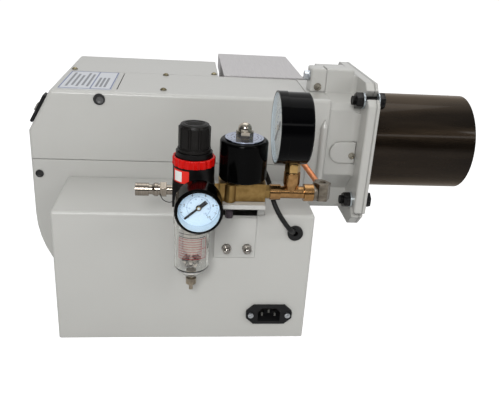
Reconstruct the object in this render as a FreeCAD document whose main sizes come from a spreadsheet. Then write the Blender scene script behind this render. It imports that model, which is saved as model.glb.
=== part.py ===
import FreeCAD, Part
import Sketcher
import math
import os

# Waste oil burner with its air line, pressure gauges and mains box.
# X runs along the blast tube, Y away from the air line, Z up, all in millimetres.
# The origin is the middle of the mains box's underside.

os.makedirs("parts", exist_ok=True)
doc = FreeCAD.newDocument("burner")
sheet = doc.addObject("Spreadsheet::Sheet", "Params")

VALUES = {
    # room left between neighbouring pieces and in running fits
    "gap": 0.3,
    "run": 0.05,
    # mains box in front
    "box_wide": 264.0,
    "box_deep": 98.0,
    "box_high": 147.5,
    "box_skin": 1.5,
    # burner body behind it
    "body_left": -171.0,
    "body_right": 136.5,
    "body_far": 261.0,
    "body_top": 244.5,
    "body_skin": 2.0,
    "seam_high": 166.7,
    "split_deep": 156.0,
    "chamfer_wide": 25.0,
    "chamfer_high": 45.5,
    "scroll_x": -52.5,
    "scroll_high": 100.7,
    "scroll_radius": 118.5,
    "far_cover_right": 38.0,
    # head casting, flange and blast tube
    "tube_deep": 116.0,
    "tube_high": 181.5,
    "tube_radius": 58.0,
    "tube_skin": 2.0,
    "tube_end": 343.0,
    "flange_face": 210.5,
    "flange_thick": 3.8,
    "casting_flange": 9.5,
    "gasket_thick": 0.8,
    "flange_half": 86.0,
    "flange_corner": 22.0,
    "flange_drop": 1.9,
    "flange_bolt_y": 67.5,
    "flange_bolt_z": 60.0,
    "flange_bolt_lift": 4.4,
    "slot_wide": 11.0,
    "column_right": 159.3,
    "duct_radius": 51.0,
    # air line in front of the box
    "line_deep": -68.0,
    "line_high": 181.0,
    "reg_x": 6.6,
    "reg_radius": 19.5,
    "bowl_radius": 17.3,
    "knob_radius": 14.1,
    "small_gauge_x": 11.1,
    "small_gauge_radius": 21.5,
    "small_dial_deep": 12.5,
    "small_gauge_face": -120.0,
    "valve_x": 52.5,
    "coil_radius": 22.6,
    "big_gauge_face": 81.0,
    "big_gauge_back": 111.0,
    "big_gauge_radius": 33.8,
    "big_gauge_high": 245.0,
    "tee_x": 100.0,
    "pipe_radius": 3.0,
    "lead_radius": 2.5,
    # mains inlet and cable hole
    "inlet_inset": 40.0,
    "inlet_high": 30.5,
    "plate_bolt_high": 111.0,
    "inlet_screws_apart": 40.0,
    "lead_hole_inset": 19.7,
    "lead_hole_high": 128.6,
    # oil tank at the far side
    "tank_left": 47.0,
    "tank_right": 145.0,
    "tank_room": 44.0,
    "tank_far": 317.0,
}


class Size:
    """A number that remembers the sheet expression it stands for."""

    def __init__(self, value, text):
        self.value = float(value)
        self.text = text

    def join(self, other, sign, turned=False):
        other = other if isinstance(other, Size) else Size(other, "%.5f" % other)
        one, two = (other, self) if turned else (self, other)
        text = "(%s %s %s)" % (one.text, sign, two.text)
        if sign == "+":
            return Size(one.value + two.value, text)
        if sign == "-":
            return Size(one.value - two.value, text)
        if sign == "*":
            return Size(one.value * two.value, text)
        return Size(one.value / two.value, text)

    def __add__(self, other):
        return self.join(other, "+")

    def __radd__(self, other):
        return self.join(other, "+", True)

    def __sub__(self, other):
        return self.join(other, "-")

    def __rsub__(self, other):
        return self.join(other, "-", True)

    def __mul__(self, other):
        return self.join(other, "*")

    def __rmul__(self, other):
        return self.join(other, "*", True)

    def __truediv__(self, other):
        return self.join(other, "/")

    def __neg__(self):
        return self.join(-1.0, "*")

    def __float__(self):
        return self.value


class Sheet:
    """The driving sizes, read as attributes."""


S = Sheet()
for row, (alias, number) in enumerate(VALUES.items(), 1):
    sheet.set("A%d" % row, alias)
    sheet.set("B%d" % row, str(number))
    sheet.setAlias("B%d" % row, alias)
    setattr(S, alias, Size(number, "Params." + alias))
doc.recompute()

NODES = []


def bind(thing, prop, size):
    """Gives a property its size and ties it to the sheet."""
    if isinstance(size, Size):
        thing.setExpression(prop, size.text)
    else:
        path = thing
        steps = prop.split(".")
        if len(steps) == 1:
            setattr(path, prop, float(size))
        else:
            spot = thing.Placement.Base
            setattr(spot, steps[-1], float(size))
            thing.Placement = FreeCAD.Placement(spot, thing.Placement.Rotation)


def place(thing, x, y, z):
    """Moves a shape's own corner or centre to x, y, z."""
    for axis, size in (("x", x), ("y", y), ("z", z)):
        bind(thing, "Placement.Base." + axis, size)


TURNS = {
    "x": FreeCAD.Rotation(FreeCAD.Vector(0, 1, 0), 90),
    "y": FreeCAD.Rotation(FreeCAD.Vector(1, 0, 0), -90),
    "z": FreeCAD.Rotation(),
}


def box(x0, x1, y0, y1, z0, z1):
    """A block between two corners."""
    thing = doc.addObject("Part::Box", "Block")
    bind(thing, "Length", x1 - x0)
    bind(thing, "Width", y1 - y0)
    bind(thing, "Height", z1 - z0)
    place(thing, x0, y0, z0)
    return thing


def rod(axis, radius, start, end, a, b):
    """A round bar along an axis; a and b are its centre in the other two axes."""
    thing = doc.addObject("Part::Cylinder", "Rod")
    thing.Placement = FreeCAD.Placement(FreeCAD.Vector(), TURNS[axis])
    bind(thing, "Radius", radius)
    bind(thing, "Height", end - start)
    spot = {"x": (start, a, b), "y": (a, start, b), "z": (a, b, start)}[axis]
    place(thing, *spot)
    return thing


def cone(axis, radius0, radius1, start, end, a, b):
    """A tapered bar along an axis."""
    thing = doc.addObject("Part::Cone", "Taper")
    thing.Placement = FreeCAD.Placement(FreeCAD.Vector(), TURNS[axis])
    bind(thing, "Radius1", radius0)
    bind(thing, "Radius2", radius1)
    bind(thing, "Height", end - start)
    spot = {"x": (start, a, b), "y": (a, start, b), "z": (a, b, start)}[axis]
    place(thing, *spot)
    return thing


def ball(radius, x, y, z):
    """A sphere."""
    thing = doc.addObject("Part::Sphere", "Ball")
    bind(thing, "Radius", radius)
    place(thing, x, y, z)
    return thing


def nut(axis, across, start, end, a, b):
    """A six-sided bar, given its size across the flats."""
    thing = doc.addObject("Part::Prism", "Hex")
    thing.Polygon = 6
    thing.Placement = FreeCAD.Placement(FreeCAD.Vector(), TURNS[axis])
    bind(thing, "Circumradius", across / math.sqrt(3.0))
    bind(thing, "Height", end - start)
    spot = {"x": (start, a, b), "y": (a, start, b), "z": (a, b, start)}[axis]
    place(thing, *spot)
    return thing


def ring(axis, radius, thick, spot, a, b):
    """A round ring lying across an axis."""
    thing = doc.addObject("Part::Torus", "Ring")
    thing.Placement = FreeCAD.Placement(FreeCAD.Vector(), TURNS[axis])
    bind(thing, "Radius1", radius)
    bind(thing, "Radius2", thick)
    place(thing, *{"x": (spot, a, b), "y": (a, spot, b), "z": (a, b, spot)}[axis])
    return thing


def join(*things):
    """One solid from touching ones."""
    thing = doc.addObject("Part::MultiFuse", "Joined")
    thing.Shapes = list(things)
    thing.Refine = True
    return thing


def group(*things):
    """Separate solids kept as one piece."""
    thing = doc.addObject("Part::Compound", "Group")
    thing.Links = list(things)
    return thing


def cut(base, *tools):
    """Takes the tools away from the base."""
    thing = doc.addObject("Part::Cut", "Cut")
    thing.Base = base
    thing.Tool = tools[0] if len(tools) == 1 else join(*tools)
    return thing


def rounded(base, radius, pick):
    """Rounds the edges whose middle point passes the pick test."""
    doc.recompute()
    thing = doc.addObject("Part::Fillet", "Round")
    thing.Base = base
    edges = []
    for number, edge in enumerate(base.Shape.Edges, 1):
        middle = edge.valueAt((edge.FirstParameter + edge.LastParameter) / 2)
        if pick(middle, edge):
            edges.append((number, radius, radius))
    thing.Edges = edges
    doc.recompute()
    return thing


def node(name, thing):
    """Names a finished piece and puts it on the list to be written."""
    thing.Label = name
    NODES.append(thing)
    return thing


def outline(body, plane, offset, corners, reach, inward=False):
    """A pad or pocket of a straight-sided outline; reach runs to the axis's plus side."""
    role = {"XY": "XY_Plane", "XZ": "XZ_Plane", "YZ": "YZ_Plane"}[plane]
    base = [part for part in body.Origin.OriginFeatures if part.Role == role][0]
    sketch = body.newObject("Sketcher::SketchObject", "Outline")
    sketch.AttachmentSupport = [(base, "")]
    sketch.MapMode = "FlatFace"
    away = -1.0 if plane == "XZ" else 1.0
    if isinstance(offset, Size):
        sketch.setExpression("AttachmentOffset.Base.z", (offset * away).text)
    else:
        lift = FreeCAD.Vector(0, 0, away * offset)
        sketch.AttachmentOffset = FreeCAD.Placement(lift, FreeCAD.Rotation())
    count = len(corners)
    spots = [FreeCAD.Vector(float(a), float(b), 0) for a, b in corners]
    for index in range(count):
        line = Part.LineSegment(spots[index], spots[(index + 1) % count])
        sketch.addGeometry(line, False)
    for index in range(count):
        rule = Sketcher.Constraint("Coincident", index, 2, (index + 1) % count, 1)
        sketch.addConstraint(rule)
    for index, corner in enumerate(corners):
        for kind, size in zip(("DistanceX", "DistanceY"), corner):
            rule = Sketcher.Constraint(kind, -1, 1, index, 1, float(size))
            number = sketch.addConstraint(rule)
            if isinstance(size, Size):
                sketch.setExpression("Constraints[%d]" % number, size.text)
    kind = "PartDesign::Pocket" if inward else "PartDesign::Pad"
    feature = body.newObject(kind, "Step")
    feature.Profile = sketch
    bind(feature, "Length", reach)
    if inward:
        feature.Reversed = plane != "XZ"
    else:
        feature.Reversed = plane == "XZ"
    doc.recompute()
    return feature


def soften(body, feature, radius, pick):
    """A fillet on a body's feature, on the edges that pass the pick test."""
    names = []
    for number, edge in enumerate(feature.Shape.Edges, 1):
        middle = edge.valueAt((edge.FirstParameter + edge.LastParameter) / 2)
        if pick(middle, edge):
            names.append("Edge%d" % number)
    step = body.newObject("PartDesign::Fillet", "Soft")
    step.Base = (feature, names)
    step.Radius = radius
    doc.recompute()
    return step


def near(a, b, slack=0.05):
    return abs(float(a) - float(b)) < slack


# The valve's two screws: along the line and across it from its middle.
VALVE_SCREWS = ((41.0, -9.0), (62.5, 5.0))

# The mains box is a folded steel box open below; its floor is a plate of its own.
half_wide = S.box_wide / 2
half_deep = S.box_deep / 2
inlet_x = half_wide - S.inlet_inset
lead_hole_x = half_wide - S.lead_hole_inset
tank_near = S.tube_deep + S.tank_room
face = -half_deep
wall_y = half_deep + S.gap


def bolt_places():
    """Where the box is bolted to the burner body behind it."""
    return [(x, z) for x in (-100.0, 100.0) for z in (30.0, 120.0)]


def base_box():
    body = doc.addObject("PartDesign::Body", "BoxBody")
    corners = [(-half_wide, -half_deep), (half_wide, -half_deep),
               (half_wide, half_deep), (-half_wide, half_deep)]
    pad = outline(body, "XY", 0.0, corners, S.box_high)
    high = float(S.box_high)
    soft = soften(body, pad, 3.0, lambda m, e: near(m.z, high) or near(m.z, high / 2))
    inner_x = half_wide - S.box_skin
    inner_y = half_deep - S.box_skin
    hollow = [(-inner_x, -inner_y), (inner_x, -inner_y), (inner_x, inner_y), (-inner_x, inner_y)]
    outline(body, "XY", 0.0, hollow, S.box_high - S.box_skin, inward=True)
    skin = S.box_skin + 2.0
    holes = [
        box(inlet_x - 14.3, inlet_x + 14.3, face - 1.0, face + skin,
            S.inlet_high - 10.3, S.inlet_high + 10.3),
        rod("y", 6.3, face - 1.0, face + skin, lead_hole_x, S.lead_hole_high),
        box(33.5, 80.2, face + S.box_skin, face + 19.0, S.box_high - 5.0, S.box_high + 1.0),
        box(34.0, 72.2, face - 1.0, face + skin, S.box_high - 2.5, S.box_high + 1.0),
    ]
    for x in (42.2, 63.2):
        holes.append(rod("y", 3.2, face - 1.0, face + skin, x, S.plate_bolt_high))
    for side in (-1, 1):
        spot = inlet_x + side * S.inlet_screws_apart / 2
        holes.append(rod("y", 1.9, face - 1.0, face + skin, spot, S.inlet_high))
    for x, z in bolt_places():
        holes.append(rod("y", 3.3, half_deep - skin, half_deep + 1.0, x, z))
    return node("base_box", cut(body, *holes))


def floor_plate():
    inset = S.box_skin + S.gap
    plate = box(inset - half_wide, half_wide - inset, inset - half_deep, half_deep - inset, 0.0, 2.0)
    return node("base_floor_plate", plate)


def body_bolts():
    """Hex bolts that hold the box to the body and the head casting to its front plate."""
    sets = []
    inside = half_deep - S.box_skin - S.gap
    behind = wall_y + S.body_skin + S.gap
    for x, z in bolt_places():
        sets.append(join(
            nut("y", 10.0, inside - 4.0, inside, x, z),
            rod("y", 3.0, inside - 1.0, behind + 6.0, x, z),
            nut("y", 10.0, behind, behind + 5.0, x, z)))
    inside = S.body_right - 3.0 - S.gap
    for y, z in casting_places():
        sets.append(join(nut("x", 10.0, inside - 4.0, inside, y, z),
                         rod("x", 3.0, inside - 1.0, S.body_right + 12.0, y, z)))
    return node("body_bolts", group(*sets))


def mains_inlet():
    """Flanged inlet; the socket's recess opens to the front."""
    front = face - S.gap - 3.0
    back = face + 20.0
    body = doc.addObject("PartDesign::Body", "InletBody")
    x0, z0 = inlet_x, S.inlet_high
    rim = [(x0 - 25.0, z0 - 4.0), (x0 - 17.0, z0 - 11.5), (x0 + 17.0, z0 - 11.5),
           (x0 + 25.0, z0 - 4.0), (x0 + 25.0, z0 + 4.0), (x0 + 17.0, z0 + 11.5),
           (x0 - 17.0, z0 + 11.5), (x0 - 25.0, z0 + 4.0)]
    pad = outline(body, "XZ", front, rim, 3.0)
    soften(body, pad, 3.0, lambda m, e: near(e.Length, 3.0) and abs(m.x - float(x0)) > 24.0)
    plug = [(x0 - 14.0, z0 - 10.0), (x0 + 14.0, z0 - 10.0), (x0 + 14.0, z0 + 10.0),
            (x0 - 14.0, z0 + 10.0)]
    outline(body, "XZ", front, plug, back - front)
    well = [(x0 - 12.0, z0 - 8.0), (x0 + 12.0, z0 - 8.0), (x0 + 12.0, z0 + 3.5),
            (x0 + 7.5, z0 + 8.0), (x0 - 7.5, z0 + 8.0), (x0 - 12.0, z0 + 3.5)]
    outline(body, "XZ", front, well, 16.0, inward=True)
    holes = []
    for side in (-1, 1):
        holes.append(rod("y", 1.9, front - 1.0, front + 4.0,
                         x0 + side * S.inlet_screws_apart / 2, z0))
    for x, z in ((-7.0, -2.0), (0.0, 2.0), (7.0, -2.0)):
        holes.append(box(x0 + x - 1.3, x0 + x + 1.3, front + 15.0, back + 1.0,
                         z0 + z - 2.3, z0 + z + 2.3))
    return node("mains_inlet", cut(body, *holes))


def inlet_pins():
    front = face - S.gap - 3.0
    pins = []
    for x, z in ((-7.0, -2.0), (0.0, 2.0), (7.0, -2.0)):
        x0 = inlet_x + x
        z0 = S.inlet_high + z
        pins.append(box(x0 - 1.0, x0 + 1.0, front + 4.0, face + 26.0, z0 - 2.0, z0 + 2.0))
    return node("inlet_pins", group(*pins))


def pan_screws():
    """Small screws of the mains inlet and, from under the shelf, of the valve."""
    front = face - S.gap - 3.0
    screws = []
    for side in (-1, 1):
        x = inlet_x + side * S.inlet_screws_apart / 2
        head = rod("y", 3.0, front - S.gap - 1.8, front - S.gap, x, S.inlet_high)
        cross = box(x - 2.0, x + 2.0, front - S.gap - 2.0, front - S.gap - 1.1,
                    S.inlet_high - 0.4, S.inlet_high + 0.4)
        shank = rod("y", 1.5, front - S.gap - 0.5, face + 8.0, x, S.inlet_high)
        back = nut("y", 5.5, face + S.box_skin + S.gap, face + S.box_skin + 2.7, x, S.inlet_high)
        screws.append(join(cut(head, cross), shank, back))
    under = S.line_high - 8.8 - S.gap
    for (x, deep), radius, long in zip(VALVE_SCREWS, (3.8, 3.0), (14.0, 1.8)):
        y = S.line_deep + deep
        screws.append(join(rod("z", radius, under - long, under, x, y),
                           rod("z", 1.5, under - 0.5, under + 8.0, x, y)))
    return node("pan_screws", group(*screws))


def cable_grommet():
    x, z = lead_hole_x, S.lead_hole_high
    ends = join(rod("y", 8.0, face - 3.0, face - S.gap, x, z),
                rod("y", 6.0, face - 1.0, face + 4.5, x, z),
                rod("y", 8.0, face + S.box_skin + S.gap, face + 4.5, x, z))
    eye = rod("y", S.lead_radius + S.gap, face - 5.0, face + 6.0, x, z)
    return node("cable_grommet", cut(ends, eye))


def bent_route(points, radius, ends=0.45):
    """A round bar along straight runs joined by tangent arcs."""
    pieces = []
    spots = [FreeCAD.Vector(*[float(v) for v in point]) for point in points]
    start = spots[0]
    for index in range(1, len(spots) - 1):
        before = spots[index] - spots[index - 1]
        after = spots[index + 1] - spots[index]
        shorter = min(before.Length, after.Length)
        turn = before.getAngle(after)
        bend = ends * shorter / math.tan(turn / 2)
        reach = ends * shorter
        before.normalize()
        after.normalize()
        first = spots[index] - before * reach
        last = spots[index] + after * reach
        inward = after - before
        inward.normalize()
        middle = spots[index] + inward * (bend / math.cos(turn / 2) - bend)
        print("bend", index, "radius %.1f" % bend)
        pieces.append(Part.LineSegment(start, first).toShape())
        pieces.append(Part.Arc(first, middle, last).toShape())
        start = last
    pieces.append(Part.LineSegment(start, spots[-1]).toShape())
    wire = Part.Wire(pieces)
    direction = spots[1] - spots[0]
    section = Part.Wire(Part.makeCircle(float(radius), spots[0], direction))
    solid = wire.makePipeShell([section], True, False)
    expected = math.pi * float(radius) ** 2 * wire.Length
    print("length %.1f" % wire.Length, "volume ratio %.4f" % (solid.Volume / expected))
    return solid


def lead_exit():
    """Where the lead leaves the coil, and its first turn."""
    x = float(S.valve_x)
    y = float(S.line_deep)
    z = float(S.line_high)
    return FreeCAD.Vector(x + 16.5, y + 12.8, z + 27.0), FreeCAD.Vector(x + 28.5, y + 22.0, z + 5.0)


def coil_lead():
    """The valve's lead, from the coil behind the tee into the box."""
    z = S.lead_hole_high
    first, turn_at = lead_exit()
    route = [first + (turn_at - first) * (8.3 / (turn_at - first).Length),
             turn_at,
             (S.valve_x + 34.5, S.line_deep + 6.0, 160.0),
             (lead_hole_x, face - 19.0, z),
             (lead_hole_x, face + 27.0, z)]
    thing = doc.addObject("Part::Feature", "Lead")
    thing.Shape = bent_route(route, S.lead_radius)
    return node("coil_lead", thing)


def power_unit():
    """Control supply inside the box; the valve's lead ends on it."""
    front = face + 27.0 + S.gap
    block = box(half_wide - 46.0, half_wide - 6.0, front, front + 55.0, 2.0 + S.gap, S.lead_hole_high + 10.0)
    shape = rounded(block, 2.0, lambda m, e: near(m.z, float(S.lead_hole_high) + 10.0))
    return node("power_unit", shape)


def valve_bracket():
    """Folded strip: a leg behind the box front, a window and a shelf for the valve."""
    skin = 2.0
    back = face + S.box_skin + S.gap
    top = S.line_high - 6.8
    leg = box(34.2, 79.6, back, back + skin, 92.0, top)
    shelf = box(32.8, 74.1, S.line_deep - 18.0, back + skin, top - skin, top)
    lip = box(32.8, 74.1, S.line_deep - 18.0, S.line_deep - 16.0, top - 4.5, top)
    window = box(37.2, 72.2, back - 1.0, back + skin + 1.0, S.box_high - 2.5, S.line_high - 11.0)
    holes = [window]
    for x in (42.2, 63.2):
        holes.append(rod("y", 3.2, back - 1.0, back + skin + 1.0, x, S.plate_bolt_high))
    for x, deep in VALVE_SCREWS:
        holes.append(rod("z", 1.8, top - 5.0, top + 2.0, x, S.line_deep + deep))
    return node("valve_bracket", cut(join(leg, shelf, lip), *holes))


def bracket_plate():
    front = face - S.gap - 1.5
    plate = box(29.3, 71.7, front, front + 1.5, 99.9, S.box_high - 2.8)
    holes = [rod("y", 3.2, front - 1.0, front + 3.0, x, S.plate_bolt_high) for x in (42.2, 63.2)]
    return node("bracket_plate", cut(plate, *holes))


def bracket_bolts():
    front = face - 2 * S.gap - 1.5
    back = face + S.box_skin + 2 * S.gap + 2.0
    sets = []
    for x in (42.2, 63.2):
        z = S.plate_bolt_high
        washer = rod("y", 5.0, front - 1.2, front, x, z)
        hexed = nut("y", 8.6, front - 5.0, front - 1.0, x, z)
        dome = cut(ball(4.0, x, front - 5.2, z), box(x - 5.0, x + 5.0, front - 4.5, front + 3.0,
                                                     z - 5.0, z + 5.0))
        shank = rod("y", 3.0, front - 2.0, back + 6.0, x, z)
        behind = nut("y", 10.0, back, back + 4.5, x, z)
        sets.append(join(washer, hexed, dome, shank, behind))
    return node("bracket_bolts", group(*sets))


# The burner body: a lower casing with the fan's scroll corner and two covers on top.
def scroll_corner(inset):
    """Corners along the scroll's round, from the left wall to the floor."""
    radius = S.scroll_radius - inset
    drop = math.sqrt(118.5 ** 2 - 100.7 ** 2) / 118.5
    corners = []
    for step in range(9):
        low = 0.5 * math.pi - math.asin(drop)
        turn = low * step / 8
        corners.append((S.scroll_x - radius * math.cos(turn), S.scroll_high - radius * math.sin(turn)))
    return corners


def lower_outline(inset, right):
    """The lower casing from the side, seam down to the floor."""
    arc = scroll_corner(inset)
    last_x, last_z = arc[-1]
    arc[-1] = (last_x, 0.0 + inset)
    return [(right, S.seam_high), (S.body_left + inset, S.seam_high)] + arc + [(right, 0.0 + inset)]


def lower_casing():
    body = doc.addObject("PartDesign::Body", "CasingBody")
    pad = outline(body, "XZ", wall_y, lower_outline(0.0, S.body_right), S.body_far - wall_y)
    front = float(wall_y)
    soft = soften(body, pad, 4.0, lambda m, e: near(m.y, front) and m.z < float(S.seam_high) - 1.0
                  and m.x < float(S.body_right) - 0.5)
    skin = S.body_skin
    hollow = lower_outline(2.0, S.body_right + 5.0)
    hollow = [(x, z + 5.0) if near(z, S.seam_high) else (x, z) for x, z in hollow]
    outline(body, "XZ", wall_y + skin, hollow, S.body_far - wall_y - 2 * skin, inward=True)
    ledge_top = S.seam_high - 5.0
    left = S.body_left + skin - 0.5
    ledges = [
        box(left, S.body_right - 3.6, wall_y + 1.5, wall_y + 9.0, ledge_top - 2.0, ledge_top),
        box(left, S.body_right - 3.6, S.body_far - 9.0, S.body_far - 1.5, ledge_top - 2.0, ledge_top),
        box(left, left + 8.0, wall_y + 1.5, S.body_far - 1.5, ledge_top - 2.0, ledge_top),
    ]
    holes = []
    for x, z in bolt_places():
        holes.append(rod("y", 3.3, wall_y - 1.0, wall_y + 4.0, x, z))
    holes.append(rod("y", 3.6, wall_y - 1.0, wall_y + 4.0, -162.5, 150.0))
    for turn in range(-4, 2):
        for side in (-1, 1):
            angle = math.radians(25.0 * turn)
            holes.append(rod("y", 8.0, S.body_far - 4.0, S.body_far + 1.0,
                             S.scroll_x + side * 76.0 * math.cos(angle),
                             S.scroll_high + 76.0 * math.sin(angle)))
    return node("lower_casing", cut(join(body, *ledges), *holes))


def deck_plate():
    """Partition on the casing's ledge; carries the tank and the electrics."""
    z0 = S.seam_high - 5.0 + S.gap
    x0 = S.body_left + S.body_skin + S.gap
    y0 = wall_y + S.body_skin + S.gap
    y1 = S.body_far - S.body_skin - S.gap
    plate = box(x0, S.body_right - 3.0 - S.gap, y0, y1, z0, z0 + 3.0)
    pads = [box(52.0, 128.0, y, y + 20.0, z0 + 2.0, S.seam_high) for y in (170.0, 232.0)]
    duct = box(70.0, S.body_right, S.tube_deep - 45.0, S.tube_deep + 38.0, z0 - 1.0, z0 + 4.0)
    return node("deck_plate", join(cut(plate, duct), *pads))


def hood_outline(inset, right, bottom):
    """The cover's side view: left wall, slanted control face and top."""
    left = S.body_left + inset
    top = S.body_top - inset
    tilt = inset * 0.42
    return [(right, bottom), (left, bottom), (left, S.body_top - S.chamfer_high - tilt),
            (S.body_left + S.chamfer_wide + tilt, top), (right, top)]


def hood(label, y0, y1, right, open_right):
    skin = S.body_skin
    bottom = S.seam_high + 0.6
    body = doc.addObject("PartDesign::Body", label)
    pad = outline(body, "XZ", y0, hood_outline(0.0, right, bottom), y1 - y0)
    front = float(y0)
    back = float(y1)
    top = float(S.body_top)
    def edge(m, e):
        round_front = near(m.y, front) and open_right
        round_back = near(m.y, back) and not open_right
        side = m.x < float(right) - 0.5 and m.z > float(bottom) + 0.5
        long = near(m.z, top) and near(m.x, float(S.body_left + S.chamfer_wide))
        return (round_front or round_back or long) and side
    soften(body, pad, 4.0, edge)
    inner_right = right + 5.0 if open_right else right - skin
    outline(body, "XZ", y0 + skin, hood_outline(2.0, inner_right, bottom - 5.0),
            y1 - y0 - 2 * skin, inward=True)
    return body


def near_cover():
    y1 = S.split_deep
    body = hood("NearCoverBody", wall_y, y1, S.body_right, True)
    holes = [rod("y", 5.5, wall_y - 1.0, wall_y + 4.0, -94.5, 236.5),
             rod("y", S.pipe_radius + 1.2, wall_y - 1.0, wall_y + 4.0, 117.0, S.tube_high + 8.3),
             box(-77.6, -76.6, wall_y + 14.0, y1 - 5.0, S.body_top - 4.0, S.body_top + 1.0)]
    for x, y in ((-27.0, 69.0), (-27.0, 150.0)):
        holes.append(rod("z", 2.0, S.body_top - 5.0, S.body_top + 1.0, x, y))
    holes += control_hole()
    return node("near_cover", cut(body, *holes))


def far_cover():
    y0 = S.split_deep + 0.7
    body = hood("FarCoverBody", y0, S.body_far, S.far_cover_right, False)
    holes = []
    for x, y in ((-139.0, 165.0), (33.0, 168.0)):
        holes.append(rod("z", 2.0, S.body_top - 5.0, S.body_top + 1.0, x, y))
    return node("far_cover", cut(body, *holes))


def cover_screws():
    """Small round-headed screws in the top of the covers."""
    screws = []
    for x, y in ((-27.0, 69.0), (-27.0, 150.0), (-139.0, 165.0), (33.0, 168.0)):
        top = S.body_top + S.gap
        head = cut(ball(4.2, x, y, top - 1.8), box(x - 5.0, x + 5.0, y - 5.0, y + 5.0, top - 7.0, top))
        slot = box(x - 3.0, x + 3.0, y - 0.4, y + 0.4, top + 1.5, top + 3.0)
        screws.append(join(cut(head, slot), rod("z", 1.6, top - 9.0, top + 0.5, x, y)))
    return node("cover_screws", group(*screws))


def front_plate():
    """Upright plate that closes the body's right end and carries the head casting."""
    x1 = S.body_right
    x0 = x1 - 3.0
    y0 = wall_y + S.body_skin + S.gap
    low = box(x0, x1, y0, S.body_far - S.body_skin - S.gap, 2.0 + S.gap, S.seam_high - 2.0)
    high = box(x0, x1, y0, S.split_deep - S.body_skin - S.gap, S.seam_high - 4.0,
               S.body_top - S.body_skin - S.gap)
    holes = [rod("x", 30.0, x0 - 1.0, x1 + 1.0, S.tube_deep, S.tube_high)]
    for y, z in casting_places():
        holes.append(rod("x", 3.3, x0 - 1.0, x1 + 1.0, y, z))
    return node("front_plate", cut(join(low, high), *holes))


def casting_places():
    return [(S.tube_deep + y, S.tube_high + z) for y in (-55.0, 30.0) for z in (-32.0, 50.0)]


def hole_plugs():
    """Black plugs in the two round holes of the near side."""
    plugs = []
    for x, z, radius in ((-162.5, 150.0, 4.4), (-94.5, 236.5, 6.2)):
        head = rod("y", radius, wall_y - S.gap - 1.0, wall_y - S.gap, x, z)
        dish = ball(9.0, x, wall_y - S.gap - 9.2, z)
        stem = rod("y", radius - 1.1, wall_y - S.gap - 0.3, wall_y + 4.0, x, z)
        plugs.append(join(cut(head, dish), stem))
    return node("hole_plugs", group(*plugs))


def slant():
    """Where the slanted control face lies: its middle and the way it looks."""
    wide = float(S.chamfer_wide)
    high = float(S.chamfer_high)
    middle = FreeCAD.Vector(float(S.body_left) + wide / 2, 0, float(S.body_top) - high / 2)
    angle = math.degrees(math.atan2(high, wide))
    return middle, angle


def on_slant(thing, out, along, y0):
    """Lays a piece on the slanted face: its own x runs up the slope, its z looks out."""
    middle, angle = slant()
    rotation = FreeCAD.Rotation(FreeCAD.Vector(0, 1, 0), -angle)
    shift = rotation.multVec(FreeCAD.Vector(float(along), 0, float(out)))
    spot = middle + shift
    spot.y = float(y0)
    thing.Placement = FreeCAD.Placement(spot, rotation)
    return thing


def plain_box(x, y, z):
    thing = doc.addObject("Part::Box", "Block")
    thing.Length = float(x)
    thing.Width = float(y)
    thing.Height = float(z)
    return thing


def control_hole():
    thing = plain_box(12.0, 12.0, 12.0)
    return [on_slant(thing, -6.0, -6.0, float(wall_y) + 4.0)]


def control_bezel():
    """Black strip on the slanted face, with a well for the reset button."""
    strip = on_slant(plain_box(34.0, 14.0, 3.5), float(S.gap), -17.0, float(wall_y) + 3.0)
    strip = rounded(strip, 1.2, lambda m, e: True)
    collar = on_slant(plain_box(11.4, 11.4, 6.0), -4.0, -5.7, float(wall_y) + 4.3)
    well = on_slant(plain_box(8.4, 8.4, 12.0), -6.0, -4.2, float(wall_y) + 5.8)
    return node("control_bezel", cut(join(strip, collar), well))


def reset_button():
    cap = on_slant(plain_box(8.0, 8.0, 8.0), -2.6, -4.0, float(wall_y) + 6.0)
    return node("reset_button", rounded(cap, 0.8, lambda m, e: m.x < -161.0 and m.z > 219.0))


# The head casting with the throat, and the flange the blast tube stands on.
def throat_outline():
    y = S.tube_deep
    z = S.tube_high
    return [(y - 58.0, z - 28.0), (y - 58.0, z + 50.0), (y - 52.0, z + 57.0), (y - 28.0, z + 63.5),
            (y - 28.0, z + 83.7), (y + 44.0, z + 83.7), (y + 58.0, z + 66.0), (y + 58.0, z - 28.0),
            (y + 38.0, z - 52.0), (y + 38.0, z - 76.0), (y + 32.0, z - 80.0),
            (y - 32.0, z - 80.0), (y - 38.0, z - 76.0), (y - 38.0, z - 52.0)]


def flange_outline():
    y = S.tube_deep
    z = S.tube_high - S.flange_drop
    half = S.flange_half
    lean = S.flange_half - S.flange_corner
    return [(y - half, z - lean), (y - half, z + lean), (y - lean, z + half), (y + lean, z + half),
            (y + half, z + lean), (y + half, z - lean), (y + lean, z - half), (y - lean, z - half)]


def slot_cutters(x0, x1):
    """Open slots for the four bolts, running out through the cut corners."""
    tools = []
    for side_y in (-1, 1):
        for side_z in (-1, 1):
            y = S.tube_deep + side_y * S.flange_bolt_y
            z = S.tube_high + S.flange_bolt_lift + side_z * S.flange_bolt_z
            tools.append(rod("x", S.slot_wide / 2, x0, x1, y, z))
            arm = doc.addObject("Part::Box", "Slot")
            turn = math.degrees(math.atan2(side_z, side_y))
            arm.Placement = FreeCAD.Placement(FreeCAD.Vector(),
                                              FreeCAD.Rotation(FreeCAD.Vector(1, 0, 0), turn))
            bind(arm, "Length", x1 - x0)
            bind(arm, "Width", 40.0)
            bind(arm, "Height", S.slot_wide)
            half = S.slot_wide / 2
            sine = math.sin(math.radians(turn))
            cosine = math.cos(math.radians(turn))
            place(arm, x0, y + half * sine, z - half * cosine)
            tools.append(arm)
    return tools


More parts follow.
